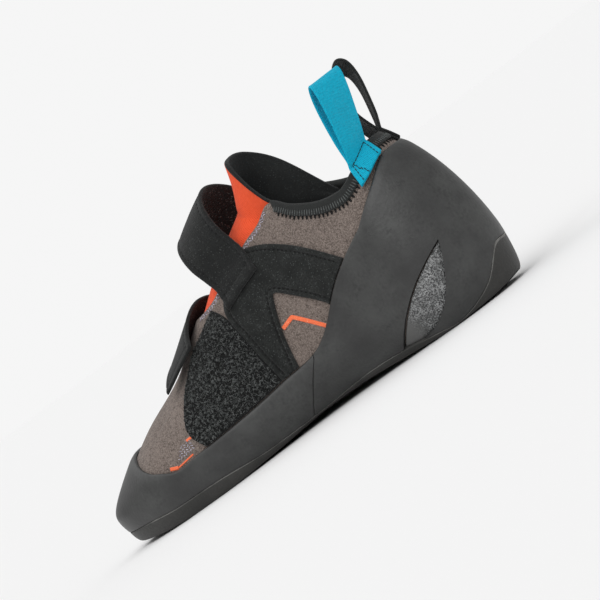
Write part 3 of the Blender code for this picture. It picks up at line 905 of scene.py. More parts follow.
def stitches(name, runs, stitch, thread):
    """Beads of thread at the places of some runs, with each run's ways and facings."""
    places, ways, facings = (np.concatenate(rows) for rows in zip(*runs))
    mesh = plain_mesh(name, places)
    for label, rows in (("along", ways), ("facing", facings)):
        kept = mesh.attributes.new(label, "FLOAT_VECTOR", "POINT")
        kept.data.foreach_set("vector", np.asarray(rows, np.float32).ravel())
    values = {label: getattr(stitch, label.lower()) * MM for label in ("Length", "Width", "Height")}
    run_nodes(name, mesh, STITCHES, values | {"Thread": thread})


def sewn_line(t, v, lift, pitch, turned=0.0):
    """Stitch places along a line on the last; turned is the stitches' angle to it in degrees."""
    places, ways, ups = resample(skin(t, v, lift), outward(t, v), pitch)
    if turned:
        angle = np.radians(turned) * np.where(np.arange(len(places)) % 2, 1, -1)[:, None]
        ways = ways * np.cos(angle) + np.cross(ups, ways) * np.sin(angle)
    return places, ways, ups


# Materials


def paint(r, g, b):
    """A screen colour from 0 to 255 as linear light."""
    rows = np.array([r, g, b], float) / 255
    linear = np.where(rows <= 0.04045, rows / 12.92, ((rows + 0.055) / 1.055) ** 2.4)
    return (*linear.tolist(), 1.0)


def effect(name, *numbers):
    """A shared shader group: a vector and named numbers in, one value out."""
    tree = bpy.data.node_groups.new(name, "ShaderNodeTree")
    tree.interface.new_socket("Vector", in_out="INPUT", socket_type="NodeSocketVector")
    for label in numbers:
        tree.interface.new_socket(label, in_out="INPUT", socket_type="NodeSocketFloat")
    tree.interface.new_socket("Value", in_out="OUTPUT", socket_type="NodeSocketFloat")
    return tree, tree.nodes.new("NodeGroupInput"), tree.nodes.new("NodeGroupOutput")


def grain_group():
    """Cloudy noise, drawn out between two levels."""
    tree, start, end = effect("grain", "Scale", "Detail", "Low", "High")
    noise = tree.nodes.new("ShaderNodeTexNoise")
    spread = tree.nodes.new("ShaderNodeMapRange")
    wire(
        tree,
        *((start, label, noise, label) for label in ("Vector", "Scale", "Detail")),
        (noise, "Fac", spread, "Value"),
        (start, "Low", spread, "From Min"),
        (start, "High", spread, "From Max"),
        (spread, "Result", end, "Value"),
    )
    return tree


def rib_group():
    """Even ribs across one way of the cloth, with a weaker set across the other."""
    tree, start, end = effect("ribs", "Rib", "Across", "Weight")
    both = tree.nodes.new("ShaderNodeMath")
    both.operation = "MULTIPLY_ADD"
    for label, direction, entry in (("Rib", "X", 2), ("Across", "Y", 0)):
        wave = tree.nodes.new("ShaderNodeTexWave")
        wave.bands_direction = direction
        wire(tree, (start, "Vector", wave, "Vector"), (start, label, wave, "Scale"))
        wire(tree, (wave, "Fac", both, entry))
    wire(tree, (start, "Weight", both, 1), (both, "Value", end, "Value"))
    return tree


def fleck_group():
    """Scattered specks: small cells, of which a share is kept."""
    tree, start, end = effect("flecks", "Scale", "Share")
    cells = tree.nodes.new("ShaderNodeTexVoronoi")
    split = tree.nodes.new("ShaderNodeSeparateColor")
    kept = tree.nodes.new("ShaderNodeMath")
    kept.operation = "GREATER_THAN"
    wire(
        tree,
        (start, "Vector", cells, "Vector"),
        (start, "Scale", cells, "Scale"),
        (cells, "Color", split, "Color"),
        (split, "Red", kept, 0),
        (start, "Share", kept, 1),
        (kept, "Value", end, "Value"),
    )
    return tree


def fade_group():
    """A ramp along the shoe, from 0 at one x to 1 at another."""
    tree, start, end = effect("fade", "From", "To")
    split = tree.nodes.new("ShaderNodeSeparateXYZ")
    ramp = tree.nodes.new("ShaderNodeMapRange")
    ramp.interpolation_type = "SMOOTHSTEP"
    wire(
        tree,
        (start, "Vector", split, "Vector"),
        (split, "X", ramp, "Value"),
        (start, "From", ramp, "From Min"),
        (start, "To", ramp, "From Max"),
        (ramp, "Result", end, "Value"),
    )
    return tree


GRAIN = grain_group()
RIBS = rib_group()
FLECKS = fleck_group()
FADE = fade_group()


def wave_scale(pitch):
    """The wave texture's scale for bands a pitch in millimetres apart."""
    return 2 * math.pi / (20 * pitch * MM)


class Look:
    """A material under way, with its Principled shader."""

    def __init__(self, name, roughness, sheen=0.0, specular=0.5, metallic=0.0):
        self.made = bpy.data.materials.new(name)
        self.made.use_nodes = True
        self.tree = self.made.node_tree
        self.shader = self.tree.nodes["Principled BSDF"]
        self.shader.inputs["Roughness"].default_value = roughness
        self.shader.inputs["Metallic"].default_value = metallic
        self.shader.inputs["Sheen Weight"].default_value = sheen
        self.shader.inputs["Sheen Roughness"].default_value = 0.6
        self.shader.inputs["Specular IOR Level"].default_value = specular
        self.coords = self.tree.nodes.new("ShaderNodeTexCoord")

    def mask(self, group, coords="Object", **values):
        """One of the shared effects on this material's coordinates."""
        node = self.tree.nodes.new("ShaderNodeGroup")
        node.node_tree = group
        wire(self.tree, (self.coords, coords, node, "Vector"))
        for label, value in values.items():
            node.inputs[label].default_value = value
        return node.outputs["Value"]

    def grain(self, scale, detail, low=0.3, high=0.7):
        return self.mask(GRAIN, Scale=scale, Detail=detail, Low=low, High=high)

    def blend(self, factor, a, b):
        """A colour between two others, each a colour or a socket."""
        node = self.tree.nodes.new("ShaderNodeMix")
        node.data_type = "RGBA"
        self.tree.links.new(factor, node.inputs["Factor"])
        for socket, colour in ((node.inputs[6], a), (node.inputs[7], b)):
            if isinstance(colour, tuple):
                socket.default_value = colour
            else:
                self.tree.links.new(colour, socket)
        return node.outputs[2]

    def colour(self, socket):
        self.tree.links.new(socket, self.shader.inputs["Base Color"])

    def bump(self, height, depth):
        """A bump of a depth in millimetres over what the material has so far."""
        node = self.tree.nodes.new("ShaderNodeBump")
        node.inputs["Strength"].default_value = 1.0
        node.inputs["Distance"].default_value = depth * MM
        self.tree.links.new(height, node.inputs["Height"])
        before = self.shader.inputs["Normal"]
        if before.is_linked:
            self.tree.links.new(before.links[0].from_socket, node.inputs["Normal"])
        self.tree.links.new(node.outputs["Normal"], before)


def suede_look():
    look = Look("suede", 0.96, sheen=0.12, specular=0.15)
    cloud = look.grain(75, 5)
    nap = look.grain(1500, 3, 0.38, 0.62)
    fibre = look.grain(3600, 2, 0.20, 0.62)
    mottle = look.grain(480, 4)
    base = look.blend(cloud, paint(102, 91, 85), paint(134, 122, 115))
    base = look.blend(mottle, paint(66, 57, 52), base)
    base = look.blend(nap, base, paint(146, 133, 125))
    look.colour(look.blend(fibre, paint(88, 78, 72), base))
    look.bump(mottle, 0.14)
    look.bump(nap, 0.12)
    look.bump(fibre, 0.08)
    return look.made


def rubber_look(name, dark, light, roughness, scale=700, depth=0.05):
    look = Look(name, roughness, specular=0.45)
    cloud = look.grain(45, 5, 0.34, 0.66)
    smear = look.grain(170, 4)
    fine = look.grain(scale, 2)
    base = look.blend(cloud, dark, look.blend(smear, dark, light))
    look.colour(look.blend(fine, base, look.blend(cloud, dark, light)))
    look.bump(fine, depth)
    return look.made


def grip_look():
    """Grey rubber with a fine maze of ridges, which runs out smooth towards the sole."""
    look = Look("grained_rubber", 0.38, specular=0.7, metallic=0.3)
    smooth = look.mask(FADE, From=-0.076, To=-0.066)
    cells = look.grain(1300, 1.5, 0.36, 0.64)
    cloud = look.grain(130, 2, 0.36, 0.64)
    # Light specks on the grain: painted glints of the glossy ridges.
    painted_glints = look.mask(FLECKS, Scale=2200, Share=0.95)
    bright = look.blend(cloud, paint(98, 99, 99), paint(158, 159, 159))
    grained = look.blend(cells, paint(56, 57, 57), bright)
    grained = look.blend(painted_glints, grained, paint(156, 157, 158))
    look.colour(look.blend(smooth, grained, paint(98, 98, 97)))
    look.bump(look.blend(smooth, cells, (0.5, 0.5, 0.5, 1.0)), 0.32)
    return look.made


def cloth_look(name, dark, light, speck, depth=0.12):
    look = Look(name, 0.9, sheen=0.1, specular=0.2)
    cloud = look.grain(160, 3)
    nap = look.grain(1400, 3, 0.32, 0.70)
    specks = look.mask(FLECKS, Scale=2600, Share=0.965)
    base = look.blend(cloud, dark, look.blend(nap, dark, light))
    look.colour(look.blend(specks, base, speck))
    look.bump(nap, depth)
    return look.made


def webbing_look(name, dark, light, pitch, cross_pitch, depth=0.14, roughness=0.6, sheen=0.08):
    look = Look(name, roughness, sheen=sheen, specular=0.2)
    ribs = look.mask(RIBS, "UV", Rib=wave_scale(pitch), Across=wave_scale(cross_pitch), Weight=0.35)
    grain = look.grain(900, 2)
    look.colour(look.blend(grain, look.blend(ribs, dark, light), light))
    look.bump(ribs, depth)
    look.bump(grain, 0.05)
    return look.made


def thread_look(name, dark, light, scale=1800):
    look = Look(name, 0.7, specular=0.3)
    twist = look.grain(scale, 1, 0.35, 0.65)
    look.colour(look.blend(twist, dark, light))
    return look.made


SUEDE_LOOK = suede_look()
LINING = cloth_look("lining", paint(24, 25, 25), paint(36, 38, 37), paint(48, 50, 49))
RAND = rubber_look("rand_rubber", paint(46, 46, 46), paint(66, 67, 66), 0.44)
SOLE = rubber_look("sole_rubber", paint(38, 38, 36), paint(56, 55, 53), 0.5, 900, 0.09)
# Paler rubber for the outsole's top edge: a painted highlight where the cut edge catches light.
SOLE_EDGE_HIGHLIGHT = rubber_look("painted_sole_edge_highlight", paint(62, 62, 60), paint(138, 137, 134), 0.85, 1100, 0.2)
GRIP = grip_look()
MICROSUEDE = cloth_look("microsuede", paint(18, 20, 19), paint(48, 50, 49), paint(62, 65, 64))
# Near-black pile base: partly the pile's own dark, partly painted shade between the loops.
PILE_BASE = cloth_look("loop_pile", paint(8, 9, 9), paint(20, 21, 21), paint(36, 38, 37))
PILE_YARN = thread_look("pile_yarn", paint(6, 7, 7), paint(106, 109, 108), 800)
STRAP_WEB = cloth_look("strap_web", paint(20, 21, 21), paint(36, 38, 37), paint(54, 56, 55))
HOOK = cloth_look("strap_hooks", paint(16, 17, 17), paint(34, 35, 35), paint(96, 98, 97), 0.3)
BAND = webbing_look("binding_knit", paint(20, 21, 21), paint(37, 39, 38), 0.7, 0.9, 0.08, 0.8)
ORANGE = webbing_look("stretch_orange", paint(236, 66, 28), paint(255, 96, 52), 1.0, 0.8, 0.2, 0.75)
BLUE = webbing_look("blue_webbing", paint(0, 130, 163), paint(0, 176, 208), 0.75, 1.3, sheen=0.0)
BLACK = webbing_look("black_webbing", paint(20, 21, 21), paint(32, 34, 33), 0.75, 1.3)
BOARD = cloth_look("insole_board", paint(52, 51, 50), paint(70, 69, 67), paint(84, 82, 80))
PEACH = cloth_look("orange_line", paint(240, 110, 70), paint(255, 140, 98), paint(255, 160, 124))
BLACK_THREAD = thread_look("black_thread", paint(14, 15, 15), paint(34, 35, 35))
# Near-black thread, darker than black_thread: partly the thread's own black, partly painted shade of the
# stitch holes.
SEAM_THREAD = thread_look("seam_thread", paint(3, 3, 3), paint(12, 12, 12))
GREY_THREAD = thread_look("grey_thread", paint(58, 61, 60), paint(92, 95, 94))
LILAC_THREAD = thread_look("lilac_thread", paint(120, 112, 134), paint(214, 210, 222))


# The pieces


def creases(t, v):
    """The relief of the suede's folds, which run out at the ridge."""
    relief = np.zeros(t.shape)
    for row in CREASES:
        way = np.array([(row.t1 - row.t0) * STRIP_WIDTH, (row.v1 - row.v0) * STRIP_HEIGHT])
        length = np.hypot(*way)
        way = way / length
        dx = (t - row.t0) * STRIP_WIDTH
        dy = (v - row.v0) * STRIP_HEIGHT
        along = dx * way[0] + dy * way[1]
        aside = dy * way[0] - dx * way[1]
        beside = bell(aside - CREASE_BESIDE * row.width, row.width)
        ridge = bell(aside, row.width) - CREASE_SWELL * beside
        relief -= row.depth * bell(along / length - 0.5, CREASE_REACH) * ridge
    return relief * np.clip((1 - v) / CREASE_FREE_V, 0, 1)


def build_upper():
    """The suede wall, with a rounded edge round the collar and throat and none over the toe."""
    ts = ring_ts(480)
    close = shares(52, 0.012)
    even = np.linspace(0, 1, len(close))
    t = np.repeat(ts[:, None], len(close), 1)
    open_edge = np.clip((OPEN_V - top_line(t)) / OPEN_FADE_V, 0, 1)
    v = top_line(t) * mix(even, close, open_edge)
    across, total = run_length(wall(t, v), 1)
    drop = rounding(total - across, EDGE_ROUND) * open_edge
    is_open = top_line(ts) < 0.9999
    gaping = is_open | np.roll(is_open, -1)
    outer = skin(t, v, creases(t, v) - drop)
    mesh = solid("upper_suede", outer, skin(t, v, -SUEDE), closed=True, inner_look=1, top=gaping)
    piece("upper_suede", mesh, [SUEDE_LOOK, LINING], "upper")


def build_outsole():
    """Columns of rings from the underside's spine round the rim to the top of the spine."""
    ts = ring_ts(432)
    line = sole_line(ts) - SEAM_V
    edge = skin(ts, line, RAND_SEAT + RUBBER)
    middle = hub(ts)
    under = np.interp(middle[:, 0], SPINE_X, SPINE_UNDER)
    low = ground(ts)
    spread = edge[:, :2] - middle
    away = unit(spread)
    corner_radius = np.linalg.norm(spread, axis=1) - SOLE_UNDERCUT * (edge[:, 2] - low)
    flat_radius = corner_radius - SOLE_ROUND

    def at(radius, z):
        return np.concatenate([middle + away * radius[:, None], np.asarray(z)[:, None]], 1)

    def underside(share):
        lift = max(0.0, (share - FLAT_SHARE) / (1 - FLAT_SHARE)) ** 2
        return at(flat_radius * share, mix(under, low, lift))

    def rounded(share):
        first = mix(at(flat_radius, low), at(corner_radius, low), share)
        return mix(first, mix(at(corner_radius, low), edge, share), share)

    inside = np.where(line > 0, SEAT, 0.0)
    seat = skin(ts, line, inside)
    corner = skin(ts, 0.0, inside - SEAT / 2) - np.array([0.0, 0.0, FLOOR_GAP])
    rim = skin(ts, 0.0, -SUEDE / 2)
    rim[:, 2] = feather(ts) - FLOOR_GAP
    spine = np.concatenate([middle, np.full((len(ts), 1), SPINE_TOP)], 1)
    last_round = 0.97
    columns = [underside(share) for share in np.linspace(0, 1, 14)[:-1]]
    columns += [rounded(share) for share in np.linspace(0, last_round, 18)]
    lip_from = len(columns) - 1
    lip = mix(edge, seat, 0.12)
    columns += [mix(mix(rounded(last_round), edge, 0.75), lip, 0.3), lip, seat]
    lip_to = len(columns) - 1
    columns += [skin(ts, line / 2, inside), corner, rim]
    columns += [mix(rim, spine, share) for share in (0.25, 0.5, 0.75, 1.0)]
    grid = np.stack(columns, 1)
    m, n = grid.shape[:2]
    # The lip's columns take the paler rubber: a painted highlight along the sole's top edge.
    lit_edge = np.zeros((m, n - 1), int)
    lit_edge[:, lip_from:lip_to] = 1
    mesh = mesh_from("outsole_rubber", grid.reshape(-1, 3), grid_faces(m, n, ring=True), lit_edge.ravel())
    facing_out(mesh)
    piece("outsole_rubber", mesh, [SOLE, SOLE_EDGE_HIGHLIGHT], "outsole")


def build_insole():
    ts = ring_ts(288)
    rim = wall(ts, 0.0)
    middle = np.concatenate([hub(ts), np.full((len(ts), 1), SPINE_TOP + FLOOR_GAP)], 1)
    rim[:, :2] += INSOLE_INSET * unit(middle[:, :2] - rim[:, :2])
    rise = np.array([0.0, 0.0, INSOLE])
    columns = [mix(middle, rim, share) for share in np.linspace(0, 1, 8)]
    columns += [rim + rise * 0.6, mix(rim, middle, 0.012) + rise * 0.95]
    columns += [mix(rim, middle, share) + rise for share in np.linspace(0.03, 1, 9)]
    grid = np.stack(columns, 1)
    mesh = mesh_from("insole_layer", grid.reshape(-1, 3), grid_faces(*grid.shape[:2], ring=True))
    facing_out(mesh)
    piece("insole_layer", mesh, [BOARD], "insole")


def rand_places(first, last, start, stop, rise):
    """Upright strips from first to last, then strips that slant to the seams at both ends."""
    upright = np.linspace(first, last, round((last - first) * 22) + 1)
    slant = shares(18, 0.06)
    t = [mix(start, first, share) for share in slant[:-1]]
    t += [np.full(len(rise), at) for at in upright]
    t += [mix(last, stop, share) for share in slant[1:]]
    t = np.array(t)
    return t, mix(sole_line(t) + SEAM_V, rand_line(t), rise[None, :])


def rand_relief(t, v):
    """The rubber thins towards its top edge, and is not quite even."""
    across, total = run_length(wall(t, v), 1)
    thin = -RAND_THINNER * np.clip(1 - (total - across) / RAND_THIN_EDGE, 0, 1) ** 1.5
    return thin + RAND_WAVE * np.sin(t * 5.1 + v * 9.0) * np.sin(t * 2.3 - v * 14.0)


def build_rand(name, first, last, start, stop, rise):
    t, v = rand_places(first, last, start, stop, rise)
    mesh = lay(name + "_rand_rubber", t, v, RAND_SEAT, RUBBER, RAND_RIMS, rand_relief(t, v))
    return piece(name + "_rand_rubber", mesh, [RAND], name + "_rand")


def build_rands():
    rise = shares(46, 0.035)
    seam = mix(SEAM_LOW, SEAM_HIGH, rise) + SEAM_T
    build_rand("toe", TOE_UPRIGHT, STATIONS - TOE_UPRIGHT, seam, STATIONS - seam, rise)
    rise = shares(64, 0.025)
    seam = mix(SEAM_LOW, SEAM_HIGH, rise) - SEAM_T
    cut_windows(build_rand("heel", -HEEL_UPRIGHT, HEEL_UPRIGHT, -seam, seam, rise))


def window_outline(shrink, steps):
    """The upper and the lower edge of a heel window, seen from the side as x and z."""
    chord = WINDOW_TAIL - WINDOW_TIP
    length = np.linalg.norm(chord)
    along = chord / length
    upright = np.array([-along[1], along[0]])
    share = np.linspace(0, 1, steps)[:, None]
    place = WINDOW_TIP + along * mix(shrink, length - shrink, share)
    swell = upright * 4 * share * (1 - share)
    up = max(WINDOW_BULGE_UP - shrink, 0.0)
    down = max(WINDOW_BULGE_DOWN - shrink, 0.0)
    return place + swell * up, place - swell * down


def cut_windows(part):
    """Cuts the heel windows through the rand, across the shoe."""
    upper, lower = window_outline(0.0, 41)
    outline = np.concatenate([upper[:-1], lower[:0:-1]])
    count = len(outline)
    reach_out = 60.0
    ends = [np.insert(outline, 1, y, axis=1) for y in (-reach_out, reach_out)]
    faces = [[k, (k + 1) % count, (k + 1) % count + count, k + count] for k in range(count)]
    faces += [range(count), range(2 * count - 1, count - 1, -1)]
    mesh = plain_mesh("window_cutter", np.concatenate(ends), faces)
    facing_out(mesh)
    cutter = placed("window_cutter", mesh)
    boolean = part.modifiers.new("windows", "BOOLEAN")
    boolean.operation = "DIFFERENCE"
    boolean.solver = "EXACT"
    boolean.object = cutter
    realised(part)
    bpy.data.objects.remove(cutter, do_unlink=True)
    smooth_to(part.data, 40)


def window_place(x, z, side):
    """The strip and height of points seen from the side at x and z, on the shoe's heel."""

    def seen(t):
        on = on_side(t, side)
        low = WIDEST * (z - feather(on)) / (wide(on) - feather(on))
        share = np.clip((z - wide(on)) / (ridge_at(fold(on)) - wide(on)), 0, 1)
        high = WIDEST + (1 - WIDEST) * np.arcsin(share) / (np.pi / 2)
        return on, np.where(z < wide(on), low, high)

    least = np.full(x.shape, 0.05)
    most = np.full(x.shape, 6.0)
    for _ in range(40):
        t = (least + most) / 2
        short = wall(*seen(t))[..., 0] < x
        least = np.where(short, t, least)
        most = np.where(short, most, t)
    return seen((least + most) / 2)


def build_inlays():
    """The grained rubber in the heel windows, down to the sole."""
    for side in SIDES:
        upper, lower = window_outline(SEAT, 90)
        line_t = on_side(np.linspace(0.5, 5.5, 200), side)
        line = wall(line_t, sole_line(line_t) + SEAM_V)
        lower[:, 1] = np.maximum(lower[:, 1], np.interp(lower[:, 0], line[:, 0], line[:, 2]))
        tall = upper[:, 1] - lower[:, 1] > INLAY_LEAST
        across = shares(24, 0.05)[None, :, None]
        place = mix(lower[tall][:, None], upper[tall][:, None], across)
        t, v = window_place(place[..., 0], place[..., 1], side)
        v = np.maximum(v, sole_line(t) + SEAM_V)
        mesh = lay("heel_grip_" + side, t, v, SEAT, INLAY, INLAY_RIMS)
        piece("heel_grip_" + side, mesh, [GRIP], "heel_inlay_" + side)


def build_binding():
    """A folded band over the collar edge, with overlocked ribs and their teeth in the suede."""
    inside = -SUEDE - SEAT - 0.1
    face = SEAT + BINDING
    crown = (face + inside - BINDING) / 2
    half = (face - inside + BINDING) / 2
    arc = np.radians(np.linspace(0, 180, 13))
    section = [(-BINDING_OUTER_FLANGE, face - 0.35), (-BINDING_OUTER_FLANGE + 0.5, face - 0.05)]
    section += [(up, face) for up in (-3.5, -2.0, -0.8)]
    section += [(BINDING_SHOULDER + BINDING_CROWN * math.sin(a), crown + half * math.cos(a)) for a in arc]
    section += [(-1.5, inside - BINDING), (-BINDING_INNER_FLANGE, inside - BINDING)]
    section += [(-BINDING_INNER_FLANGE, inside), (0.3, inside), (0.3, SEAT)]
    section += [(-BINDING_OUTER_FLANGE, SEAT)]
    ts = np.linspace(-BINDING_END, BINDING_END, 300)
    edge = top_line(ts)
    scale = climb_length(ts, edge)
    grid = np.stack([skin(ts, edge + up / scale, lift) for up, lift in section], 1)
    m, n = grid.shape[:2]
    ends = np.arange(m * n).reshape(m, n)
    faces = [*grid_faces(m, n, tube=True), ends[0], ends[-1][::-1]]
    mesh = mesh_from("collar_band", grid.reshape(-1, 3), faces, uv=cloth_uv(grid), sharp=50)
    facing_out(mesh)
    piece("collar_band", mesh, [BAND], "collar_binding")
    for name, up, lift, stitch, thread in (
        ("collar_ribs", -3.9, face + 0.02, COLLAR_RIB, GREY_THREAD),
        ("collar_teeth", -6.0, 0.12, COLLAR_TOOTH, SEAM_THREAD),
    ):
        places, ways, ups = sewn_line(ts, edge + up / scale, lift, stitch.pitch)
        stitches(name, [(places, np.cross(ups, ways), ups)], stitch, thread)


def bend_places(rows, along, across, side):
    edges = even_table(rows)(along)
    t = mix(edges[:, :1], edges[:, 2:3], across[None, :])
    v = mix(edges[:, 1:2], edges[:, 3:4], across[None, :])
    return on_side(t, side), v


def meet_rand(t, v, row):
    """Draws one end of a panel out to the rands' top edge."""
    far = np.linspace(0, 1, len(t))
    near = np.clip(1 - (far if row == 0 else far[::-1]) / 0.15, 0, 1) ** 2
    short = rand_line(t[row]) + RAND_GAP - v[row]
    return v + near[:, None] * short[None, :]


def build_wings():
    for side in SIDES:
        t, v = bend_places(WING, shares(110, 0.012), shares(44, 0.03), side)
        for row in (0, -1):
            v = meet_rand(t, v, row)
        base = wall(t, v)
        across, total = run_length(base, 1)
        along, _ = run_length(base, 0)
        relief = WING_WAVE * np.sin(along * 0.33) * np.sin(across * 0.21)
        runs = []
        for from_start in (True, False):
            beside = (across if from_start else total - across) - WING_SEAM_IN
            relief -= WING_GROOVE * bell(beside, 0.55)
            relief += WING_BANK * (bell(beside + WING_BANK_OFF, 0.6) + bell(beside - WING_BANK_OFF, 0.6))
            row_t, row_v = line_inside(t, v, WING_SEAM_IN, from_start)[:, 4:-4]
            lift = SEAT + PANEL - WING_STITCH_SUNK
            runs.append(sewn_line(row_t, row_v, lift, WING_STITCH.pitch))
        mesh = lay("wing_" + side, t, v, SEAT, PANEL, (0.4, 0.4, 0.55, 0.55), relief)
        piece("wing_" + side, mesh, [MICROSUEDE], "wing_panel_" + side)
        stitches("wing_seam_" + side, runs, WING_STITCH, SEAM_THREAD)


def build_patches():
    """Pile for the straps' hooks: a near-black base, partly the pile's own dark and partly painted shade
    between the loops, and loops of yarn scattered just under its top.
    """
    jobs = (
        ("medial", LOOP_PATCH, SEAT, LOOP_PILE, 3),
        ("lateral", STRAP_PATCH, 2 * SEAT + PANEL, STRAP_PILE, 8),
    )
    for side, rows, low, thick, seed in jobs:
        t, v = bend_places(rows, shares(80, 0.02), shares(84, 0.02), side)
        if side == "medial":
            v = meet_rand(t, v, 0)
        x, _, z = np.moveaxis(wall(t, v), -1, 0)
        relief = 0.14 * np.sin(x * 2.9 + z * 1.7) * np.sin(z * 3.1 - x) - 0.45
        mesh = lay("pile_" + side, t, v, low, thick, (0.5, 0.5, 0.5, 0.5), relief)
        piece("pile_" + side, mesh, [PILE_BASE], "loop_patch_" + side)
        top = skin(t, v, low + thick - 0.35)[3:-3, 3:-3]
        face = plain_mesh("pile_face_" + side, top.reshape(-1, 3), grid_faces(*top.shape[:2]))
        values = {"Density": 2200000.0, "Radius": 0.5 * MM, "Yarn": 0.13 * MM, "Seed": seed}
        values["Thread"] = PILE_YARN
        run_nodes("pile_loops_" + side, face, PILE, values)


def build_straps():
    for label, rows in (("upper", UPPER_STRAP), ("lower", LOWER_STRAP)):
        name = "strap_" + label
        v, lift, t = even_table(rows)(shares(150, 0.012)).T
        across = mix(-STRAP_HALF, STRAP_HALF, shares(30, 0.05))
        t = t[None, :] + across[:, None]
        v = np.repeat(v[None, :], len(across), 0)
        base = skin(t, v, np.repeat(lift[None, :], len(across), 0))
        up = outward(t, v)
        wide_run, wide_total = run_length(base, 0)
        long_run, long_total = run_length(base, 1)
        edge = np.minimum(wide_run, wide_total - wide_run)
        end = np.minimum(long_run, long_total - long_run)
        relief = 0.12 * bell(edge - STRAP_EDGE_IN, 1.0)
        relief -= 0.25 * bell(edge - STRAP_SEAM_IN, 0.6) + 0.2 * bell(end - STRAP_END_IN, 0.6)
        if label == "upper":
            relief += 0.5 * bell(long_run - HEM_ROLL, 1.7) - 0.3 * bell(long_run - HEM, 0.7)
        drop = rim_drop(base, [STRAP_ROUND] * 4)
        outer = base + (STRAP - drop + relief)[..., None] * up
        inner = base + (0.35 * drop)[..., None] * up
        mesh = solid(name + "_web", outer, inner, inner_look=1)
        piece(name + "_web", mesh, [STRAP_WEB, HOOK], label + "_strap")
        every_line, every_column = (np.arange(count) for count in t.shape)
        seams = []
        for measure in (wide_run, wide_total - wide_run):
            seams.append((np.argmin(abs(measure - STRAP_SEAM_IN), 0), every_column))
        if label == "upper":
            seams.append((every_line, np.argmin(abs(long_run - HEM), 1)))
        runs = []
        for i, j in seams:
            at = i[6:-6], j[6:-6]
            runs.append(resample(outer[at], up[at], STRAP_STITCH.pitch))
        stitches(name + "_seam", runs, STRAP_STITCH, SEAM_THREAD)


def grid_normals(grid):
    return unit(np.cross(np.gradient(grid, axis=1), np.gradient(grid, axis=0)))


def build_tongue():
    """A padded flap: orange knit outside, black lining inside and turned over round its rim."""
    sides = mix(1.0, -1.0, shares(70, 0.012))
    fall = 1 - np.cos(sides * np.pi / 2)
    points = []
    for arch in TONGUE_ARCHES:
        t = mix(arch.t_mid, arch.t_side, fall)
        v = 1 - (1 - arch.v_side) * sides
        points.append(skin(t, v, mix(arch.lift_mid, arch.lift_side, fall)))
    points += [even_table(ring_rows)((1 - sides) / 2) for ring_rows in TONGUE_RINGS]
    points = np.array(points)
    corner = np.clip((abs(sides) - TURNED_FROM) / TURNED_OVER, 0, 1)
    turned_over = mix(TURNED_MIDDLE, TURNED_SIDE, corner * corner * (3 - 2 * corner))
    down = np.linspace(1, 0, 400)
    rest_shares = np.linspace(0, 1, 90)[1:] ** 1.5
    columns = []
    for k, turned in enumerate(turned_over):
        line = even_table(points[:, k])
        steps = np.linalg.norm(np.diff(line(down), axis=0), axis=1)
        run = np.concatenate([[0.0], np.cumsum(steps)])
        below = np.linspace(0, turned, TURNED_ROWS + 1)
        rest = mix(turned, run[-1], rest_shares)
        columns.append(line(np.interp(np.concatenate([below, rest]), run, down)))
    grid = np.stack(columns, 1)
    up = grid_normals(grid)
    drop = rim_drop(grid, [TONGUE / 2 - 0.02] * 4)
    outer = grid + (TONGUE - drop)[..., None] * up
    inner = grid + drop[..., None] * up
    by_row = np.arange(len(grid) - 1) < TURNED_ROWS
    by_side = abs(sides[:-1] + sides[1:]) / 2 > DARK_SIDE
    dark = by_row[:, None] | by_side[None, :]
    mesh = solid("tongue_pad", outer, inner, face_look=dark, inner_look=1, rim_look=1)
    tongue = piece("tongue_pad", mesh, [ORANGE, LINING], "tongue")


def build_zigzags():
    """Zigzags of pale thread: along both sides of the throat, and a few rows by the toe."""
    throat = []
    toe = []
    for side in SIDES:
        ts = on_side(np.linspace(*THROAT_SPAN, 120), side)
        for down in THROAT_ROWS:
            v = top_line(ts) - down / climb_length(ts, top_line(ts))
            throat.append(sewn_line(ts, v, 0.12, THROAT_STITCH.pitch, ZIGZAG))
        for row in range(TOE_ROWS):
            v = TOE_ROW_V + TOE_ROW_STEP * row + np.linspace(0, TOE_ROW_CLIMB, 30)
            end = TOE_ROW_END - TOE_ROW_SHORTER * row
            ts_toe = on_side(np.linspace(TOE_ROW_START, end, 30), side)
            toe.append(sewn_line(ts_toe, v, 0.1, TOE_STITCH.pitch, ZIGZAG))
    stitches("throat_zigzag", throat, THROAT_STITCH, LILAC_THREAD)
    stitches("toe_zigzag", toe, TOE_STITCH, LILAC_THREAD)


def build_pull_loops():
    highest = max(row.up for row in PULL_LOOP)
    cross = shares(20, 0.04)
    half = WEBBING / 2
    looks = ((BLUE, "blue_webbing"), (BLACK, "black_webbing"))
    for pull, (look, slot) in zip(PULL_LEANS, looks):
        ts = on_side(mix(PULL_T_BACK, PULL_T_FRONT, cross), pull.side)
        edge = top_line(ts)
        scale = climb_length(ts, edge)
        feet = wall(ts, edge)
        chord = mix(feet[:1], feet[-1:], cross[:, None])
        middle_t = on_side(np.array((PULL_T_BACK + PULL_T_FRONT) / 2), pull.side)
        flat_out = unit(outward(middle_t, top_line(middle_t)) * (1, 1, 0))
        twist = np.array([0.0, pull.turn_y, pull.turn_z]) * (2 * cross[:, None] - 1)
        strips = []
        for up, out in even_table(PULL_LOOP)(shares(170, 0.004)):
            if up <= 0:
                strips.append(skin(ts, edge + up / scale, out))
                continue
            height = up / highest
            foot = mix(feet, chord, PULL_STRAIGHT * height)
            level = np.array([-pull.heelwards * height, 0.0, up]) + twist * height
            lean = mix(outward(ts, edge), flat_out, min(1.0, up / PULL_TURN))
            strips.append(foot + level + lean * out)
        grid = np.stack(strips, 1)
        up = grid_normals(grid)
        across, total = run_length(grid, 0)
        selvedge = 0.12 * bell(np.minimum(across, total - across) - 1.0, 0.8)
        thick = (half - rim_drop(grid, [half] * 4) + selvedge)[..., None]
        mesh = solid("pull_" + pull.side, grid + thick * up, grid - thick * up)
        piece("pull_" + pull.side, mesh, [look], "pull_loop_" + pull.side)
        if pull.side == "medial":
            build_stitch_box(grid, up, half)


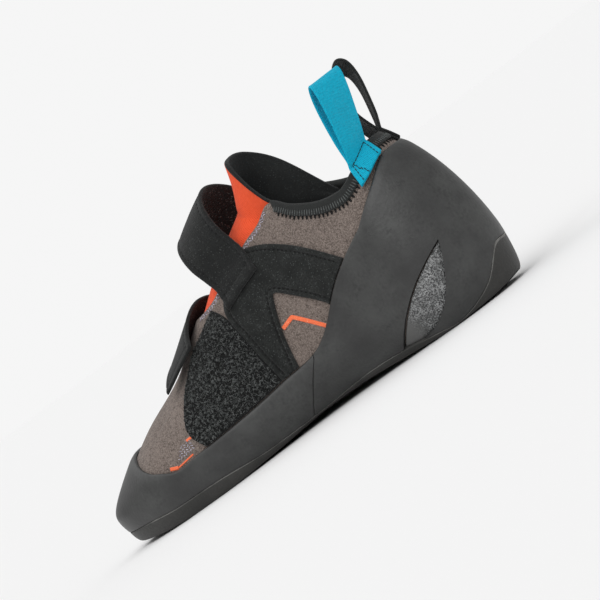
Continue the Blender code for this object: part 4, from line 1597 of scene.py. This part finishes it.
def build_stitch_box(grid, up, half):
    """Rows of stitches across and down the foot of the blue loop, on its outer layer."""
    m, n = grid.shape[:2]
    low = n - 4
    high = n - 30
    left = 6
    right = m - 7
    lines = [(left, low, left, high), (left, high, right, high), (right, high, right, low)]
    lines.append((right, high, right - 5, low))
    runs = []
    for i0, j0, i1, j1 in lines:
        at = np.round(np.linspace(i0, i1, 40)).astype(int), np.round(np.linspace(j0, j1, 40)).astype(int)
        points = grid[at] - up[at] * (half + 0.1)
        keep = np.concatenate([[True], np.linalg.norm(np.diff(points, axis=0), axis=1) > 0.05])
        runs.append(resample(points[keep], -up[at][keep], BOX_STITCH.pitch))
    stitches("pull_box", runs, BOX_STITCH, BLACK_THREAD)


def build_marks():
    """Orange lines on the suede: a chevron under each wing and short bars by the toe."""
    for side in SIDES:
        for mark in MARKS:
            ts, vs = zip(*mark.places)
            corners = range(len(ts))
            run = np.linspace(0, len(ts) - 1, 60)
            t = on_side(np.interp(run, corners, ts), side)
            name = mark.label + "_" + side
            mesh = strip_mesh(name, t, np.interp(run, corners, vs), mark.width, MARK_HEIGHT)
            piece(name, mesh, [PEACH])


build_upper()
build_outsole()
build_insole()
build_rands()
build_inlays()
build_binding()
build_wings()
build_patches()
build_straps()
build_tongue()
build_zigzags()
build_pull_loops()
build_marks()


# Floor, light and camera

FLOOR_HALF = 12.0
FLOOR_COLOUR = (0.86, 0.86, 0.86, 1.0)
SEEN_COLOUR = (0.92, 0.92, 0.92, 1.0)
AMBIENT = 0.5
CAMERA_AZIMUTH = math.radians(206.0)
CAMERA_ELEVATION = math.radians(1.6)
CAMERA_ROLL = math.radians(37.0)
CAMERA_DISTANCE = 1.4
CAMERA_LENS = 181.4
CAMERA_SENSOR = 36.0
CAMERA_AIM = Vector((0.0002, -0.0055, 0.045))
CAMERA_SHIFT = (0.01065, 0.0139)


def build_stage():
    mesh = bpy.data.meshes.new("floor")
    corners = [(-1, -1), (1, -1), (1, 1), (-1, 1)]
    mesh.from_pydata([(x * FLOOR_HALF, y * FLOOR_HALF, 0) for x, y in corners], [], [range(4)])
    floor = placed("floor", mesh)
    pale = bpy.data.materials.new("floor_paint")
    pale.use_nodes = True
    shader = pale.node_tree.nodes["Principled BSDF"]
    shader.inputs["Base Color"].default_value = FLOOR_COLOUR
    shader.inputs["Roughness"].default_value = 0.9
    shader.inputs["Specular IOR Level"].default_value = 0.0
    mesh.materials.append(pale)


def build_world():
    """Even pale surroundings: one level as seen, a lower one as light."""
    world = bpy.data.worlds.new("studio")
    bpy.context.scene.world = world
    world.use_nodes = True
    tree = world.node_tree
    seen = tree.nodes["Background"]
    seen.inputs["Color"].default_value = SEEN_COLOUR
    light = tree.nodes.new("ShaderNodeBackground")
    light.inputs["Color"].default_value = (1.0, 1.0, 1.0, 1.0)
    light.inputs["Strength"].default_value = AMBIENT
    path = tree.nodes.new("ShaderNodeLightPath")
    pick = tree.nodes.new("ShaderNodeMixShader")
    wire(
        tree,
        (path, "Is Camera Ray", pick, "Fac"),
        (light, "Background", pick, 1),
        (seen, "Background", pick, 2),
        (pick, "Shader", tree.nodes["World Output"], "Surface"),
    )


def soft_sun(name, source, spread, strength):
    """Even light from one side of the studio; spread is how wide its source looks, in degrees."""
    data = bpy.data.lights.new(name, "SUN")
    data.angle = math.radians(spread)
    data.energy = strength
    placed(name, data).rotation_euler = (-Vector(source)).to_track_quat("-Z", "Y").to_euler()


def build_camera():
    """Looks at the medial side, a little from the heel, rolled so that the toe points down."""
    level_share = math.cos(CAMERA_ELEVATION)
    x = math.sin(CAMERA_AZIMUTH) * level_share
    y = -math.cos(CAMERA_AZIMUTH) * level_share
    back = Vector((x, y, math.sin(CAMERA_ELEVATION)))
    level = Vector((0, 0, 1)).cross(back).normalized()
    upright = back.cross(level)
    right = level * math.cos(CAMERA_ROLL) - upright * math.sin(CAMERA_ROLL)
    top = level * math.sin(CAMERA_ROLL) + upright * math.cos(CAMERA_ROLL)
    data = bpy.data.cameras.new("camera")
    data.lens = CAMERA_LENS
    data.sensor_width = CAMERA_SENSOR
    turned = Matrix((right, top, back)).transposed().to_4x4()
    aim = CAMERA_AIM + right * CAMERA_SHIFT[0] + top * CAMERA_SHIFT[1]
    turned.translation = aim + back * CAMERA_DISTANCE
    camera = placed("camera", data)
    camera.matrix_world = turned
    bpy.context.scene.camera = camera


build_stage()
build_world()
soft_sun("key", (-0.25, 0.75, 0.75), 50.0, 1.3)
soft_sun("top", (0.35, -0.1, 1.0), 80.0, 0.9)
build_camera()
bpy.context.scene.view_settings.view_transform = "Standard"
